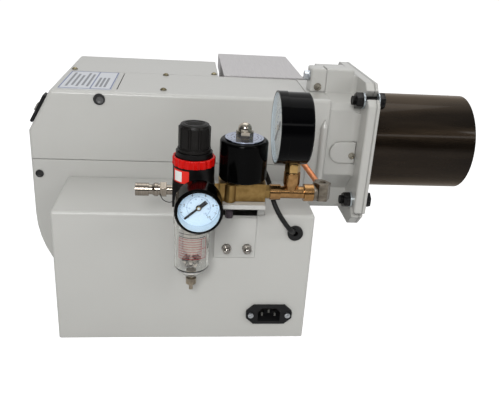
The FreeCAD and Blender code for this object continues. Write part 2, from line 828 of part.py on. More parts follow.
def inner_corner(x, y, z0, z1, radius):
    """A quarter-round filling upright in the corner between a wall and a flange."""
    block = box(x - radius, x + 0.5, y - radius, y + 0.5, z0, z1)
    return cut(block, rod("z", radius, z0 - 1.0, z1 + 1.0, x - radius, y - radius))


# Back of the casting's own flange plate, behind gasket and tube flange.
flange_back = S.flange_face - S.flange_thick - S.gasket_thick - 0.2 - S.casting_flange


def head_casting():
    left = S.body_right + S.gap
    body = doc.addObject("PartDesign::Body", "CastingBody")
    y = S.tube_deep
    z = S.tube_high
    outline(body, "YZ", left, throat_outline(), flange_back + 1.0 - left)
    column = [(wall_y, z - 41.5), (wall_y, z + 60.0), (wall_y + 1.2, z + 62.5), (wall_y + 4.0, z + 63.5),
              (y + 62.0, z + 63.5), (y + 62.0, z - 41.5)]
    outline(body, "YZ", left, column, S.column_right - left)
    plate = outline(body, "YZ", flange_back, flange_outline(), S.casting_flange)
    back = float(flange_back)
    soften(body, plate, 2.5, lambda m, e: near(m.x, back) and near(m.y, float(y - S.flange_half)))
    rib = join(cone("z", 4.5, 4.1, z - 38.0, z + 32.0, 154.6, wall_y - 0.4),
               cone("z", 4.1, 0.6, z + 32.0, z + 40.0, 154.6, wall_y - 0.4))
    jaw = rounded(box(160.0, 192.0, y - 28.0, y - 4.0, z + 60.0, z + 90.5), 2.0,
                  lambda m, e: near(m.z, float(z) + 90.5) and m.x > 160.5)
    outer = join(body, rib, jaw, inner_corner(flange_back, y - 58.0, z - 28.0, z + 48.0, 8.0),
                 inner_corner(flange_back, y - 28.0, z + 60.0, z + 84.0, 6.0))
    tools = [rod("x", S.duct_radius, left + 16.0, S.flange_face, y, z),
             rod("x", S.duct_radius - 15.0, left - 1.0, left + 17.0, y, z),
             box(left - 1.0, 160.0, y - 80.0, y + 80.0, z + 63.5, z + 90.0),
             box(left - 1.0, S.tank_right + 4.0, tank_near - 4.0, y + 90.0, z - 90.0, z + 90.0)]
    tools += slot_cutters(flange_back - 1.0, flange_back + S.casting_flange + 1.0)
    for place_y, place_z in casting_places():
        tools.append(rod("x", 3.3, left - 1.0, left + 14.0, place_y, place_z))
    tools.append(rod("y", 2.6, y - 60.0, y - 46.0, 191.8, z - 2.5))
    tools.append(box(178.5, 196.0, y - 67.0, y - 58.0, z - 13.3, z + 14.3))
    base = cut(outer, *tools)
    bar = join(box(left, left + 5.0, y - 5.0, y + 5.0, z - 37.0, z + 37.0),
               rod("x", 10.0, left, left + 12.0, y, z))
    bar = cut(bar, rod("x", 6.0 + S.gap, left - 1.0, left + 13.0, y, z))
    return node("head_casting", join(base, bar))


def clamp_block():
    """Lug on the casting's shoulder that clamps the burner to its flange neck."""
    y = S.tube_deep
    z = S.tube_high
    top = z + 90.5
    block = box(141.6, 159.7, y - 28.0, y - 4.0, z + 63.5 + S.gap, top)
    soft = rounded(block, 2.5, lambda m, e: near(m.z, float(top)) or near(m.x, 141.6)
                   and m.z > float(z) + 66.0)
    holes = [rod("y", 3.0, y - 29.0, y - 18.0, 150.2, z + 69.7),
             rod("x", 3.3, 140.0, 155.0, y - 18.0, z + 80.5)]
    return node("clamp_block", cut(soft, *holes))


def socket_screws():
    """Hex-socket screws: one in the clamp block, one in the sight cover."""
    y = S.tube_deep
    z = S.tube_high
    front = y - 28.0 - S.gap
    screw_a = join(rod("y", 4.4, front - 1.6, front, 150.2, z + 69.7),
                   rod("y", 2.7, front - 0.5, front + 8.0, 150.2, z + 69.7))
    hex_a = nut("y", 4.0, front - 3.0, front - 0.1, 150.2, z + 69.7)
    front_b = y - 58.0 - S.gap - 3.0 - S.gap
    screw_b = join(rod("y", 3.9, front_b - 1.6, front_b, 191.8, z - 2.5),
                   rod("y", 2.2, front_b - 0.5, front_b + 13.0, 191.8, z - 2.5))
    hex_b = nut("y", 4.0, front_b - 3.0, front_b - 0.1, 191.8, z - 2.5)
    return node("socket_screws", group(cut(screw_a, hex_a), cut(screw_b, hex_b)))


def clamp_bolt():
    y = S.tube_deep - 18.0
    z = S.tube_high + 80.5
    left = 141.6 - float(S.gap)
    bolt = join(rod("x", 6.0, left - 1.2, left, y, z), nut("x", 10.0, left - 6.0, left - 1.0, y, z),
                rod("x", 3.0, left - 1.0, left + 12.0, y, z))
    return node("clamp_bolt", bolt)


def sight_cover():
    """Oval cover on the throat's near wall."""
    y1 = S.tube_deep - 58.0 - S.gap
    z = S.tube_high + 0.5
    plate = join(rod("y", 13.0, y1 - 3.0, y1, 178.5, z), box(178.5, 195.6, y1 - 3.0, y1, z - 13.0, z + 13.0))
    soft = rounded(plate, 0.9, lambda m, e: near(m.y, float(y1) - 3.0))
    hole = rod("y", 2.6, y1 - 4.0, y1 + 1.0, 191.8, z - 3.0)
    return node("sight_cover", cut(soft, hole))


def flange_gasket():
    x1 = S.flange_face - S.flange_thick - 0.1
    x0 = x1 - S.gasket_thick + 0.1
    body = doc.addObject("PartDesign::Body", "GasketBody")
    outline(body, "YZ", x0, flange_outline(), x1 - x0)
    tools = [rod("x", S.duct_radius, x0 - 1.0, x1 + 1.0, S.tube_deep, S.tube_high)]
    tools += slot_cutters(x0 - 1.0, x1 + 1.0)
    return node("flange_gasket", cut(body, *tools))


def tube_flange():
    x1 = S.flange_face
    x0 = x1 - S.flange_thick
    body = doc.addObject("PartDesign::Body", "FlangeBody")
    pad = outline(body, "YZ", x0, flange_outline(), S.flange_thick)
    soften(body, pad, 2.0, lambda m, e: near(m.x, float(x1)))
    tools = [rod("x", S.duct_radius, x0 - 1.0, x1 + 1.0, S.tube_deep, S.tube_high)]
    tools += slot_cutters(x0 - 1.0, x1 + 1.0)
    return node("tube_flange", cut(body, *tools))


def flange_bolts():
    """Four bolts with washers and nuts through both flange plates."""
    sets = []
    front = S.flange_face + S.gap
    rear = flange_back - S.gap
    for side_y in (-1, 1):
        for side_z in (-1, 1):
            y = S.tube_deep + side_y * S.flange_bolt_y
            z = S.tube_high + S.flange_bolt_lift + side_z * S.flange_bolt_z
            head = nut("x", 16.0, front + 1.4, front + 7.8, y, z)
            shank = rod("x", 5.0, rear - 13.0, front + 2.0, y, z)
            back = nut("x", 16.0, rear - 9.9, rear - 1.9, y, z)
            washers = [rod("x", 9.4, front, front + 1.4, y, z), rod("x", 9.0, rear - 1.9, rear, y, z)]
            sets.append(join(head, shank, back, *washers))
    return node("flange_bolts", group(*sets))


def blast_tube():
    y = S.tube_deep
    z = S.tube_high
    x0 = S.flange_face + S.gap
    x1 = S.tube_end
    outer = rod("x", S.tube_radius, x0, x1, y, z)
    bore = rod("x", S.tube_radius - S.tube_skin, x0 - 1.0, x1 + 1.0, y, z)
    lip = cut(rod("x", S.tube_radius - S.tube_skin + 0.5, x1 - 3.0, x1, y, z),
              rod("x", S.tube_radius - 8.0, x1 - 4.0, x1 + 1.0, y, z))
    return node("blast_tube", join(cut(outer, bore), lip))


def nozzle_lance():
    """Oil and air lance with its spray nozzle, and a spider that centres it."""
    y = S.tube_deep
    z = S.tube_high
    x0 = S.body_right + S.gap + 1.0
    lance = join(rod("x", 6.0, x0, 300.0, y, z), nut("x", 17.0, 150.0, 156.0, y, z),
                 nut("x", 17.0, 296.0, 306.0, y, z))
    tip = join(nut("x", 13.0, 305.5, 312.0, y, z), cone("x", 6.0, 3.0, 312.0, 318.0, y, z))
    tip = cut(tip, rod("x", 0.8, 313.0, 319.0, y, z))
    arms = [tip, rod("x", 8.0, 268.0, 272.0, y, z)]
    for turn in (30.0, 150.0, 270.0):
        arm = doc.addObject("Part::Box", "Arm")
        rotation = FreeCAD.Rotation(FreeCAD.Vector(1, 0, 0), turn)
        arm.Length = 3.0
        bind(arm, "Width", S.tube_radius - S.tube_skin - S.gap - 0.1)
        arm.Height = 5.0
        corner = rotation.multVec(FreeCAD.Vector(0, 0, -2.5))
        arm.Placement = FreeCAD.Placement(FreeCAD.Vector(), rotation)
        place(arm, 268.5, y + corner.y, z + corner.z)
        arms.append(arm)
    return node("nozzle_lance", join(lance, *arms))


def diffuser_disc():
    """Slotted retention disc round the nozzle."""
    y = S.tube_deep
    z = S.tube_high
    disc = rod("x", S.tube_radius - S.tube_skin - S.gap, 320.0, 321.5, y, z)
    tools = [rod("x", 12.0, 319.0, 323.0, y, z)]
    for turn in range(8):
        slot = doc.addObject("Part::Box", "Vane")
        rotation = FreeCAD.Rotation(FreeCAD.Vector(1, 0, 0), 45.0 * turn + 22.5)
        slot.Length = 4.0
        slot.Width = 24.0
        slot.Height = 3.0
        corner = rotation.multVec(FreeCAD.Vector(0, 18.0, -1.5))
        slot.Placement = FreeCAD.Placement(FreeCAD.Vector(), rotation)
        place(slot, 319.0, y + corner.y, z + corner.z)
        tools.append(slot)
    rim = cut(rod("x", S.tube_radius - S.tube_skin - S.gap, 314.0, 321.5, y, z),
              rod("x", S.tube_radius - S.tube_skin - S.gap - 1.5, 313.0, 322.5, y, z))
    return node("diffuser_disc", cut(join(disc, rim), *tools))


def electrodes():
    wires = []
    for side in (-1, 1):
        y = S.tube_deep + side * 5.0
        z = S.tube_high + 19.0
        wires.append(rod("x", 1.0, 240.0, 315.0, y, z))
    return node("electrodes", group(*wires))


def electrode_insulators():
    """Ceramic sleeves held on the lance by their own saddle."""
    y = S.tube_deep
    z = S.tube_high + 19.0
    sleeves = [rod("x", 4.0, 250.0, 305.0, y + side * 5.0, z) for side in (-1, 1)]
    saddle = box(262.0, 267.0, y - 5.0, y + 5.0, S.tube_high + 6.0 + S.gap, z)
    solid = join(*sleeves, saddle, box(262.0, 267.0, y - 5.0, y + 5.0, z - 3.0, z + 3.0))
    bores = [rod("x", 1.0 + S.gap, 249.0, 306.0, y + side * 5.0, z) for side in (-1, 1)]
    return node("electrode_insulators", cut(solid, *bores))


def fan_wheel():
    """Squirrel-cage wheel on its motor's shaft."""
    x = S.scroll_x
    z = S.scroll_high
    y0 = 78.0
    back = rod("y", 56.0, y0 + 58.0, y0 + 60.0, x, z)
    hub = rod("y", 11.0, y0 + 40.0, y0 + 60.0, x, z)
    front = cut(rod("y", 56.0, y0, y0 + 2.0, x, z), rod("y", 44.0, y0 - 1.0, y0 + 3.0, x, z))
    blades = []
    for turn in range(24):
        angle = 15.0 * turn
        blade = doc.addObject("Part::Box", "Blade")
        rotation = FreeCAD.Rotation(FreeCAD.Vector(0, 1, 0), angle)
        blade.Length = 10.0
        blade.Width = 58.0
        blade.Height = 1.2
        corner = rotation.multVec(FreeCAD.Vector(45.5, 0, -0.6))
        blade.Placement = FreeCAD.Placement(FreeCAD.Vector(), rotation)
        place(blade, x + corner.x, y0 + 1.0, z + corner.z)
        blades.append(blade)
    wheel = join(back, hub, front, *blades)
    bore = rod("y", 6.0 + S.run, y0 + 30.0, y0 + 62.0, x, z)
    return node("fan_wheel", cut(wheel, bore))


def fan_motor():
    """Motor on the casing's far wall; its shaft carries the wheel."""
    x = S.scroll_x
    z = S.scroll_high
    y0 = 78.0 + 60.0
    y1 = S.body_far - S.body_skin - S.gap
    drum = rod("y", 42.0, y0 + 12.0, y1 - 6.0, x, z)
    boss = rod("y", 16.0, y0 + 4.0, y0 + 13.0, x, z)
    shaft = rod("y", 6.0, y0 - 16.0, y0 + 6.0, x, z)
    plate = rod("y", 56.0, y1 - 6.0, y1, x, z)
    windows = []
    for turn in range(8):
        angle = math.radians(45 * turn)
        windows.append(rod("y", 4.0, y1 - 7.0, y1 + 1.0, x + 50.0 * math.cos(angle), z + 50.0 * math.sin(angle)))
    return node("fan_motor", cut(join(drum, boss, shaft, plate), *windows))


def oil_tank():
    """Preheated day tank on the deck, open on top."""
    z0 = S.seam_high + S.gap
    z1 = S.body_top - 1.0
    outer = box(S.tank_left, S.tank_right, tank_near, S.tank_far, z0, z1)
    hollow = box(S.tank_left + 2.0, S.tank_right - 2.0, tank_near + 2.0, S.tank_far - 2.0,
                 z0 + 2.0, z1 + 1.0)
    port = rod("y", 9.0 + S.gap, S.tank_far - 4.0, S.tank_far + 1.0, 96.0, z0 + 20.0)
    return node("oil_tank", cut(outer, hollow, port))


def tank_lid():
    top = S.body_top + 1.5
    x0 = S.tank_left - 2.0
    x1 = S.tank_right + 2.0
    y0 = tank_near - 2.0
    y1 = S.tank_far + 2.0
    cap = box(x0, x1, y0, y1, top - 20.0, top)
    inner = box(x0 + 1.2, x1 - 1.2, y0 + 1.2, y1 - 1.2, top - 21.0, top - 1.2)
    return node("tank_lid", cut(cap, inner))


def tank_heater():
    """Screwed-in heating rod of the tank."""
    z = S.seam_high + S.gap + 20.0
    y1 = S.tank_far
    parts = [rod("y", 9.0, y1 - 6.0, y1 + 1.0, 96.0, z), nut("y", 26.0, y1 + S.gap, y1 + 9.0, 96.0, z),
             rod("y", 12.0, y1 + 8.0, y1 + 30.0, 96.0, z), rod("y", 5.0, y1 - 140.0, y1 - 5.0, 96.0, z)]
    return node("tank_heater", join(*parts))


def ignition_transformer():
    z0 = S.seam_high - 2.0 + 2 * S.gap
    block = box(-30.0, 32.0, 172.0, 235.0, z0, z0 + 55.0)
    posts = [rod("x", 5.0, 31.0, 33.5, y, z0 + 40.0) for y in (188.0, 218.0)]
    return node("ignition_transformer", join(block, *posts))


def burner_controller():
    z0 = S.seam_high - 2.0 + 2 * S.gap
    lower = box(-130.0, -60.0, 70.0, 140.0, z0, z0 + 18.0)
    upper = rounded(box(-127.0, -63.0, 73.0, 137.0, z0 + 17.0, z0 + 58.0), 4.0,
                    lambda m, e: m.z > float(z0) + 57.0)
    return node("burner_controller", join(lower, upper))


# The air line: quick plug, filter regulator, solenoid valve, tee with gauge, elbow, copper pipe.
ly = S.line_deep
lz = S.line_high
reg = S.reg_x


def air_nipple():
    end = reg - 54.0
    steps = [rod("x", 6.2, end, end + 12.5, ly, lz), rod("x", 4.8, end + 12.0, end + 17.5, ly, lz),
             cone("x", 4.8, 6.4, end + 15.5, end + 18.0, ly, lz),
             rod("x", 6.4, end + 18.0, end + 21.0, ly, lz), rod("x", 5.4, end + 20.5, end + 24.0, ly, lz),
             nut("x", 13.0, end + 23.0, end + 29.0, ly, lz), rod("x", 4.8, end + 28.0, reg - 14.0, ly, lz)]
    bore = rod("x", 3.5, end - 1.0, reg - 13.0, ly, lz)
    return node("air_nipple", cut(join(*steps), bore))


def regulator_body():
    r = S.reg_radius
    top = lz + 27.0
    shell = join(rod("z", r, lz - 14.0, top, reg, ly), box(reg - r, reg + r, ly - 13.0, ly + 13.0,
                                                           lz - 12.0, lz + 12.0),
                 rod("z", r - 2.5, top - 1.0, top + 13.0, reg, ly),
                 rod("z", 9.0, top + 12.0, lz + 57.0, reg, ly),
                 rod("y", 8.5, S.small_gauge_face + 29.3, ly, S.small_gauge_x, lz))
    tools = [rod("x", 4.8 + S.gap, reg - r - 1.0, reg - 13.5, ly, lz),
             rod("x", 4.8 + S.gap, reg + 13.5, reg + r + 1.0, ly, lz),
             rod("z", S.bowl_radius + S.gap, lz - 15.0, lz - 8.0, reg, ly),
             rod("y", 4.0 + S.gap, S.small_gauge_face + 28.0, S.small_gauge_face + 38.5,
                 S.small_gauge_x, lz)]
    return node("regulator_body", cut(shell, *tools))


def lock_ring():
    """Red ring with grip notches round the regulator's neck."""
    z0 = lz + 27.0 + S.gap
    ring_solid = join(rod("z", 20.0, z0, z0 + 11.5, reg, ly), rod("z", 18.6, z0 + 11.0, z0 + 12.6, reg, ly))
    tools = [rod("z", S.reg_radius - 2.5 + S.gap, z0 - 1.0, z0 + 15.0, reg, ly)]
    for turn in range(16):
        angle = math.radians(22.5 * turn)
        tools.append(rod("z", 1.5, z0 + 3.0, z0 + 12.0, reg + 20.9 * math.cos(angle),
                         ly + 20.9 * math.sin(angle)))
    return node("lock_ring", cut(ring_solid, *tools))


def regulator_knob():
    """Turning knob over the regulator's stem."""
    z0 = lz + 27.0 + 13.0 + S.gap
    z1 = lz + 65.2
    k = S.knob_radius
    cap = join(rod("z", k, z0, z1 - 3.0, reg, ly), rod("z", k + 1.4, z0, z0 + 2.5, reg, ly),
               cone("z", k, k - 1.2, z1 - 3.0, z1, reg, ly))
    tools = [rod("z", 9.0 + S.run, z0 - 1.0, lz + 57.0 + S.gap, reg, ly)]
    for turn in range(10):
        angle = math.radians(36.0 * turn)
        tools.append(rod("z", 1.3, z0 + 4.0, z1 + 1.0, reg + (k + 0.5) * math.cos(angle),
                         ly + (k + 0.5) * math.sin(angle)))
    return node("regulator_knob", cut(cap, *tools))


def filter_bowl():
    """Clear bowl screwed up into the regulator's collar."""
    r = S.bowl_radius
    top = lz - 8.0 - S.gap
    outer = join(rod("z", r, lz - 79.5, top, reg, ly), rod("z", r + 1.2, lz - 33.0, lz - 14.0 - S.gap, reg, ly),
                 cone("z", r - 3.4, r, lz - 84.5, lz - 79.5, reg, ly),
                 cone("z", 6.4, r - 3.4, lz - 91.4, lz - 84.5, reg, ly))
    inner = join(rod("z", r - 2.0, lz - 79.5, top + 1.0, reg, ly),
                 cone("z", r - 5.8, r - 2.0, lz - 84.0, lz - 79.5, reg, ly),
                 cone("z", 5.6, r - 5.8, lz - 89.0, lz - 84.0, reg, ly))
    drain = rod("z", 3.0 + S.run, lz - 93.0, lz - 85.0, reg, ly)
    return node("filter_bowl", cut(outer, inner, drain))


def filter_element():
    """Filter stem, cartridge and baffle inside the bowl."""
    top = lz - 8.0 - S.gap
    parts = [rod("z", 4.0, lz - 80.0, top, reg, ly), rod("z", 8.5, lz - 62.0, lz - 26.0, reg, ly),
             rod("z", 5.2, lz - 70.0, lz - 61.0, reg, ly), rod("z", 9.5, lz - 75.0, lz - 72.4, reg, ly),
             rod("z", 6.4, lz - 80.0, lz - 77.6, reg, ly)]
    return node("filter_element", join(*parts))


def drain_valve():
    """Push-up drain at the bowl's foot."""
    steps = [rod("z", 5.0, lz - 88.3, lz - 85.3, reg, ly), rod("z", 3.0, lz - 96.0, lz - 86.0, reg, ly),
             rod("z", 5.2, lz - 101.0, lz - 94.5, reg, ly), cone("z", 2.0, 3.4, lz - 104.0, lz - 100.5, reg, ly),
             rod("z", 2.0, lz - 108.0, lz - 103.0, reg, ly)]
    ribs = []
    for turn in range(12):
        angle = math.radians(30.0 * turn)
        ribs.append(rod("z", 0.6, lz - 100.0, lz - 95.5, reg + 5.2 * math.cos(angle), ly + 5.2 * math.sin(angle)))
    return node("drain_valve", cut(join(*steps), *ribs))


def small_gauge_case():
    y0 = S.small_gauge_face
    x = S.small_gauge_x
    r = S.small_gauge_radius
    shell = join(rod("y", r, y0 + 1.5, y0 + 24.0, x, lz), cone("y", r - 1.5, r, y0, y0 + 1.5, x, lz),
                 cone("y", r, 12.0, y0 + 24.0, y0 + 28.0, x, lz), nut("y", 12.0, y0 + 27.0, y0 + 29.0, x, lz),
                 rod("y", 4.0, y0 + 28.5, y0 + 38.0, x, lz))
    well = rod("y", r - 3.0, y0 - 1.0, y0 + S.small_dial_deep, x, lz)
    pin = rod("y", 1.0, y0 + S.small_dial_deep - 4.0, y0 + S.small_dial_deep + 1.0, x, lz)
    return node("small_gauge_case", join(cut(shell, well), pin))


def small_gauge_dial():
    y1 = S.small_gauge_face + S.small_dial_deep - S.gap
    disc = rod("y", S.small_gauge_radius - 3.0 - S.gap, y1 - 1.0, y1, S.small_gauge_x, lz)
    return node("small_gauge_dial", cut(disc, rod("y", 1.0 + S.gap, y1 - 2.0, y1 + 1.0, S.small_gauge_x, lz)))


def pointer(axis, front, x, y, z, long, tail, turn):
    """A thin needle with a heavier tail and a round hub."""
    hub = rod(axis, 2.6, front, front + 1.2, *((y, z) if axis == "x" else (x, z)))
    needle = doc.addObject("Part::Box", "Needle")
    back = doc.addObject("Part::Box", "Tail")
    for bar, reach, wide, side in ((needle, long, 1.8, 1), (back, tail, 3.5, -1)):
        bar.Length = float(reach) if axis == "y" else 0.8
        bar.Width = 0.8 if axis == "y" else float(reach)
        bar.Height = wide
        spin = FreeCAD.Vector(0, 1, 0) if axis == "y" else FreeCAD.Vector(1, 0, 0)
        angle = turn if side == 1 else turn + 180.0
        rotation = FreeCAD.Rotation(spin, angle)
        corner = rotation.multVec(FreeCAD.Vector(0, 0, -wide / 2))
        bar.Placement = FreeCAD.Placement(FreeCAD.Vector(), rotation)
        if axis == "y":
            place(bar, x + corner.x, front + 0.2, z + corner.z)
        else:
            place(bar, front + 0.2, y + corner.y, z + corner.z)
    bore_at = (y, z) if axis == "x" else (x, z)
    return cut(join(hub, needle, back), rod(axis, 1.0 + S.run, front - 1.0, front + 2.0, *bore_at))


def small_gauge_pointer():
    front = S.small_gauge_face + S.small_dial_deep - 3.0
    return node("small_gauge_pointer", pointer("y", front, S.small_gauge_x, None, lz, 16.4, 9.0, 139.0))


def valve_body():
    x = S.valve_x
    shelf = lz - 6.8 + S.gap
    top = lz + 13.7
    left = reg + S.reg_radius - 5.5
    parts = [box(x - 22.0, x + 22.0, ly - 10.0, ly + 10.0, shelf, lz + 11.3),
             rod("z", 14.0, lz + 10.0, top, x, ly), rod("z", 6.5, top - 1.0, lz + 52.0, x, ly),
             rod("z", 3.0, lz + 51.0, lz + 62.5, x, ly),
             rod("z", 5.3, shelf, lz + 11.0, x - 11.5, ly - 9.0),
             nut("x", 13.0, x - 26.4, x - 21.5, ly, lz), rod("x", 4.8, left, x - 26.0, ly, lz),
             nut("x", 12.4, x + 21.9, x + 26.6, ly, lz), rod("x", 5.0, x + 25.0, x + 34.0, ly, lz)]
    tools = [rod("z", 1.8, shelf - 1.0, shelf + 8.0, at, ly + deep) for at, deep in VALVE_SCREWS]
    return node("valve_body", cut(join(*parts), *tools))


def solenoid_coil():
    x = S.valve_x
    z0 = lz + 13.7 + S.gap
    z1 = lz + 52.5
    can = rod("z", S.coil_radius, z0, z1, x, ly)
    soft = rounded(can, 3.0, lambda m, e: near(m.z, float(z1)) or near(m.z, float(z0)))
    bore = rod("z", 6.5 + S.gap, z0 - 1.0, z1 + 1.0, x, ly)
    first, turn_at = lead_exit()
    sleeve = doc.addObject("Part::Cylinder", "Sleeve")
    sleeve.Radius = float(S.lead_radius) + 1.2
    sleeve.Height = 8.0
    sleeve.Placement = FreeCAD.Placement(first, FreeCAD.Rotation(FreeCAD.Vector(0, 0, 1), turn_at - first))
    return node("solenoid_coil", cut(join(soft, sleeve), bore))


def coil_nut():
    """Bright disc and domed nut that hold the coil down."""
    x = S.valve_x
    z0 = lz + 52.5 + S.gap
    disc = rod("z", 18.0, z0, z0 + 1.2, x, ly)
    hexed = nut("z", 14.0, z0 + 1.0, z0 + 7.5, x, ly)
    dome = join(rod("z", 6.4, z0 + 7.0, z0 + 9.5, x, ly),
                cut(ball(6.4, x, ly, z0 + 9.0), box(x - 8.0, x + 8.0, ly - 8.0, ly + 8.0, z0 + 1.0, z0 + 9.1)))
    tools = [rod("z", 6.5 + S.gap, z0 - 1.0, z0 + 0.8, x, ly),
             rod("z", 3.0 + S.gap, z0 - 1.0, lz + 62.8, x, ly)]
    return node("coil_nut", cut(join(disc, hexed, dome), *tools))


def tee_fitting():
    x = S.tee_x
    left = S.valve_x + 25.5 + 2 * S.gap + 1.0
    right = x + 21.7
    parts = [rod("x", 6.0, left, right, ly, lz), rod("x", 7.6, left, left + 10.0, ly, lz),
             rod("x", 8.5, right - 9.0, right, ly, lz), cone("z", 4.0, 7.9, lz - 2.0, lz + 9.5, x, ly),
             rod("z", 7.9, lz + 9.4, lz + 20.5, x, ly), cone("z", 7.9, 7.2, lz + 20.5, lz + 21.5, x, ly)]
    tools = [rod("x", 5.0 + S.gap, left - 1.0, left + 9.0, ly, lz),
             rod("z", 4.0 + S.gap, lz + 12.0, lz + 22.5, x, ly),
             rod("x", 5.0 + S.gap, right - 9.0, right + 1.0, ly, lz)]
    return node("tee_fitting", cut(join(*parts), *tools))


def big_gauge_case():
    """Deep black gauge case facing the air inlet side, with a brass stem below."""
    x0 = S.big_gauge_face
    x1 = S.big_gauge_back
    z = S.big_gauge_high
    r = S.big_gauge_radius
    shell = join(rod("x", r, x0, x0 + 8.5, ly, z), rod("x", r - 0.7, x0 + 8.0, x1 - 1.5, ly, z),
                 cone("x", r - 0.7, r - 2.2, x1 - 1.5, x1, ly, z))
    hollow = rod("x", r - 1.8, x0 - 1.0, x0 + 5.0, ly, z)
    pin = rod("x", 1.0, x0 + 1.2, x0 + 6.0, ly, z)
    stem = join(rod("z", 6.2, z - r - 3.0, z - r + 6.0, S.tee_x, ly),
                nut("z", 13.0, lz + 21.5 + S.gap, z - r - 0.8, S.tee_x, ly),
                rod("z", 4.0, lz + 12.5, lz + 23.0, S.tee_x, ly))
    return node("big_gauge_case", join(cut(shell, hollow), pin, stem))


def big_gauge_dial():
    x1 = S.big_gauge_face + 5.0 - S.gap
    disc = rod("x", S.big_gauge_radius - 1.8 - S.gap, x1 - 1.0, x1, ly, S.big_gauge_high)
    return node("big_gauge_dial", cut(disc, rod("x", 1.0 + S.gap, x1 - 2.0, x1 + 1.0, ly, S.big_gauge_high)))


def big_gauge_pointer():
    front = S.big_gauge_face + 1.9
    return node("big_gauge_pointer", pointer("x", front, None, ly, S.big_gauge_high, 24.0, 9.0, -45.0))


def elbow_fitting():
    """Grey steel elbow that turns the air line back towards the burner."""
    left = S.tee_x + 21.7 + S.gap
    x = left + 8.5
    body = rounded(nut("z", 14.4, lz - 6.5, lz + 11.0, x, ly), 0.8,
                   lambda m, e: near(m.z, float(lz) + 11.0) or near(m.z, float(lz) - 6.5))
    parts = [body, nut("x", 15.0, left, left + 3.5, ly, lz), rod("x", 5.0, left - 8.0, left + 1.0, ly, lz),
             rod("x", 6.5, left + 3.0, x, ly, lz),
             rod("y", 6.0, ly, ly + 9.0, x, lz + 2.0), nut("y", 12.0, ly + 8.5, ly + 16.0, x, lz + 2.0)]
    bore = rod("y", S.pipe_radius + S.gap, ly + 6.0, ly + 17.0, x, lz + 2.0)
    dimple = rod("z", 3.2, lz + 9.8, lz + 12.0, x, ly)
    return node("elbow_fitting", cut(join(*parts), bore, dimple))


def copper_pipe():
    """Air pipe from the elbow through the near cover to the lance."""
    x = S.tee_x + 21.7 + S.gap + 8.5
    route = [(x, ly + 7.0, lz + 2.0), (x, ly + 28.0, lz + 2.0), (117.0, 12.0, S.tube_high + 13.0),
             (117.0, S.tube_deep, S.tube_high), (S.body_right + S.gap + 0.7, S.tube_deep, S.tube_high)]
    thing = doc.addObject("Part::Feature", "Pipe")
    thing.Shape = bent_route(route, S.pipe_radius)
    return node("copper_pipe", thing)


for make in (base_box, floor_plate, body_bolts, mains_inlet, inlet_pins, pan_screws,
             cable_grommet, coil_lead, power_unit, valve_bracket, bracket_plate, bracket_bolts,
             lower_casing, deck_plate, near_cover, far_cover, cover_screws, front_plate, hole_plugs,
             control_bezel, reset_button, head_casting, clamp_block, socket_screws,
             clamp_bolt, sight_cover, flange_gasket, tube_flange, flange_bolts,
             blast_tube, nozzle_lance, diffuser_disc, electrodes, electrode_insulators,
             fan_wheel, fan_motor, oil_tank, tank_lid, tank_heater, ignition_transformer,
             burner_controller, air_nipple, regulator_body, lock_ring, regulator_knob, filter_bowl,
             filter_element, drain_valve, small_gauge_case, small_gauge_dial, small_gauge_pointer,
             valve_body, solenoid_coil, coil_nut, tee_fitting, big_gauge_case, big_gauge_dial, big_gauge_pointer, elbow_fitting, copper_pipe):
    make()
doc.recompute()

for thing in doc.Objects:
    if "Invalid" in thing.State or "Error" in thing.State:
        raise RuntimeError("bad step " + thing.Name + " " + thing.Label)

for thing in NODES:
    shape = thing.Shape
    if shape.isNull() or not shape.isValid() or shape.Volume <= 0:
        raise RuntimeError("bad shape " + thing.Label)
    span = shape.BoundBox
    print("%-22s %10.0f  %7.1f %7.1f  %7.1f %7.1f  %7.1f %7.1f  %d" % (
        thing.Label, shape.Volume, span.XMin, span.XMax, span.YMin, span.YMax, span.ZMin, span.ZMax,
        len(shape.Solids)))
    shape.exportStep("parts/" + thing.Label + ".step")
print(len(NODES), "pieces")
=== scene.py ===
import math

import bmesh
import bpy
from mathutils import Matrix, Vector


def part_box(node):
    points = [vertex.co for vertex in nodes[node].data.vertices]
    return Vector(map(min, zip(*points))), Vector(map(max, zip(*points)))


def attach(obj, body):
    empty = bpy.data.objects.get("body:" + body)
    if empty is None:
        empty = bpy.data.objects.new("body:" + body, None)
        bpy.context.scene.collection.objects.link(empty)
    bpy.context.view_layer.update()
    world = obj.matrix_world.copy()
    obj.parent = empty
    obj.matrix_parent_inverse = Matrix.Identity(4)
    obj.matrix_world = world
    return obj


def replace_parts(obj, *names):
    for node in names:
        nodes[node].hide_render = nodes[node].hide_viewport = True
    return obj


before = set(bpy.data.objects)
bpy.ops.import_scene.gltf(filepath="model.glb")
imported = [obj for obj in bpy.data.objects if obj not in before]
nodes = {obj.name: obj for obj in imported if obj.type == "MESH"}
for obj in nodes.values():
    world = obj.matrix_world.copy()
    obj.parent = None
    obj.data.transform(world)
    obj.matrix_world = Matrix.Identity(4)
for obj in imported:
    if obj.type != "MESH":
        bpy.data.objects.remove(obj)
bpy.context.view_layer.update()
bpy.context.scene.view_settings.view_transform = "Standard"

# Camera, at the height and turn from which the burner was photographed.
# It looks down on the mains box by about 23 degrees, from the air line's side.
view = bpy.data.objects.new("view_camera", bpy.data.cameras.new("view_camera"))
bpy.context.scene.collection.objects.link(view)
view.data.sensor_width = 36.0
view.data.lens = 43.27
across = Vector((0.9939, -0.0930, 0.0603)).normalized()
ahead = Vector((0.1091, 0.9153, -0.3879)).normalized()
upward = across.cross(ahead).normalized()
across = ahead.cross(upward).normalized()
turned = Matrix((across, upward, -ahead)).transposed().to_4x4()
stand = (-0.00190, -0.59829, 0.39679)
view.matrix_world = Matrix.Translation(stand) @ turned
bpy.context.scene.camera = view

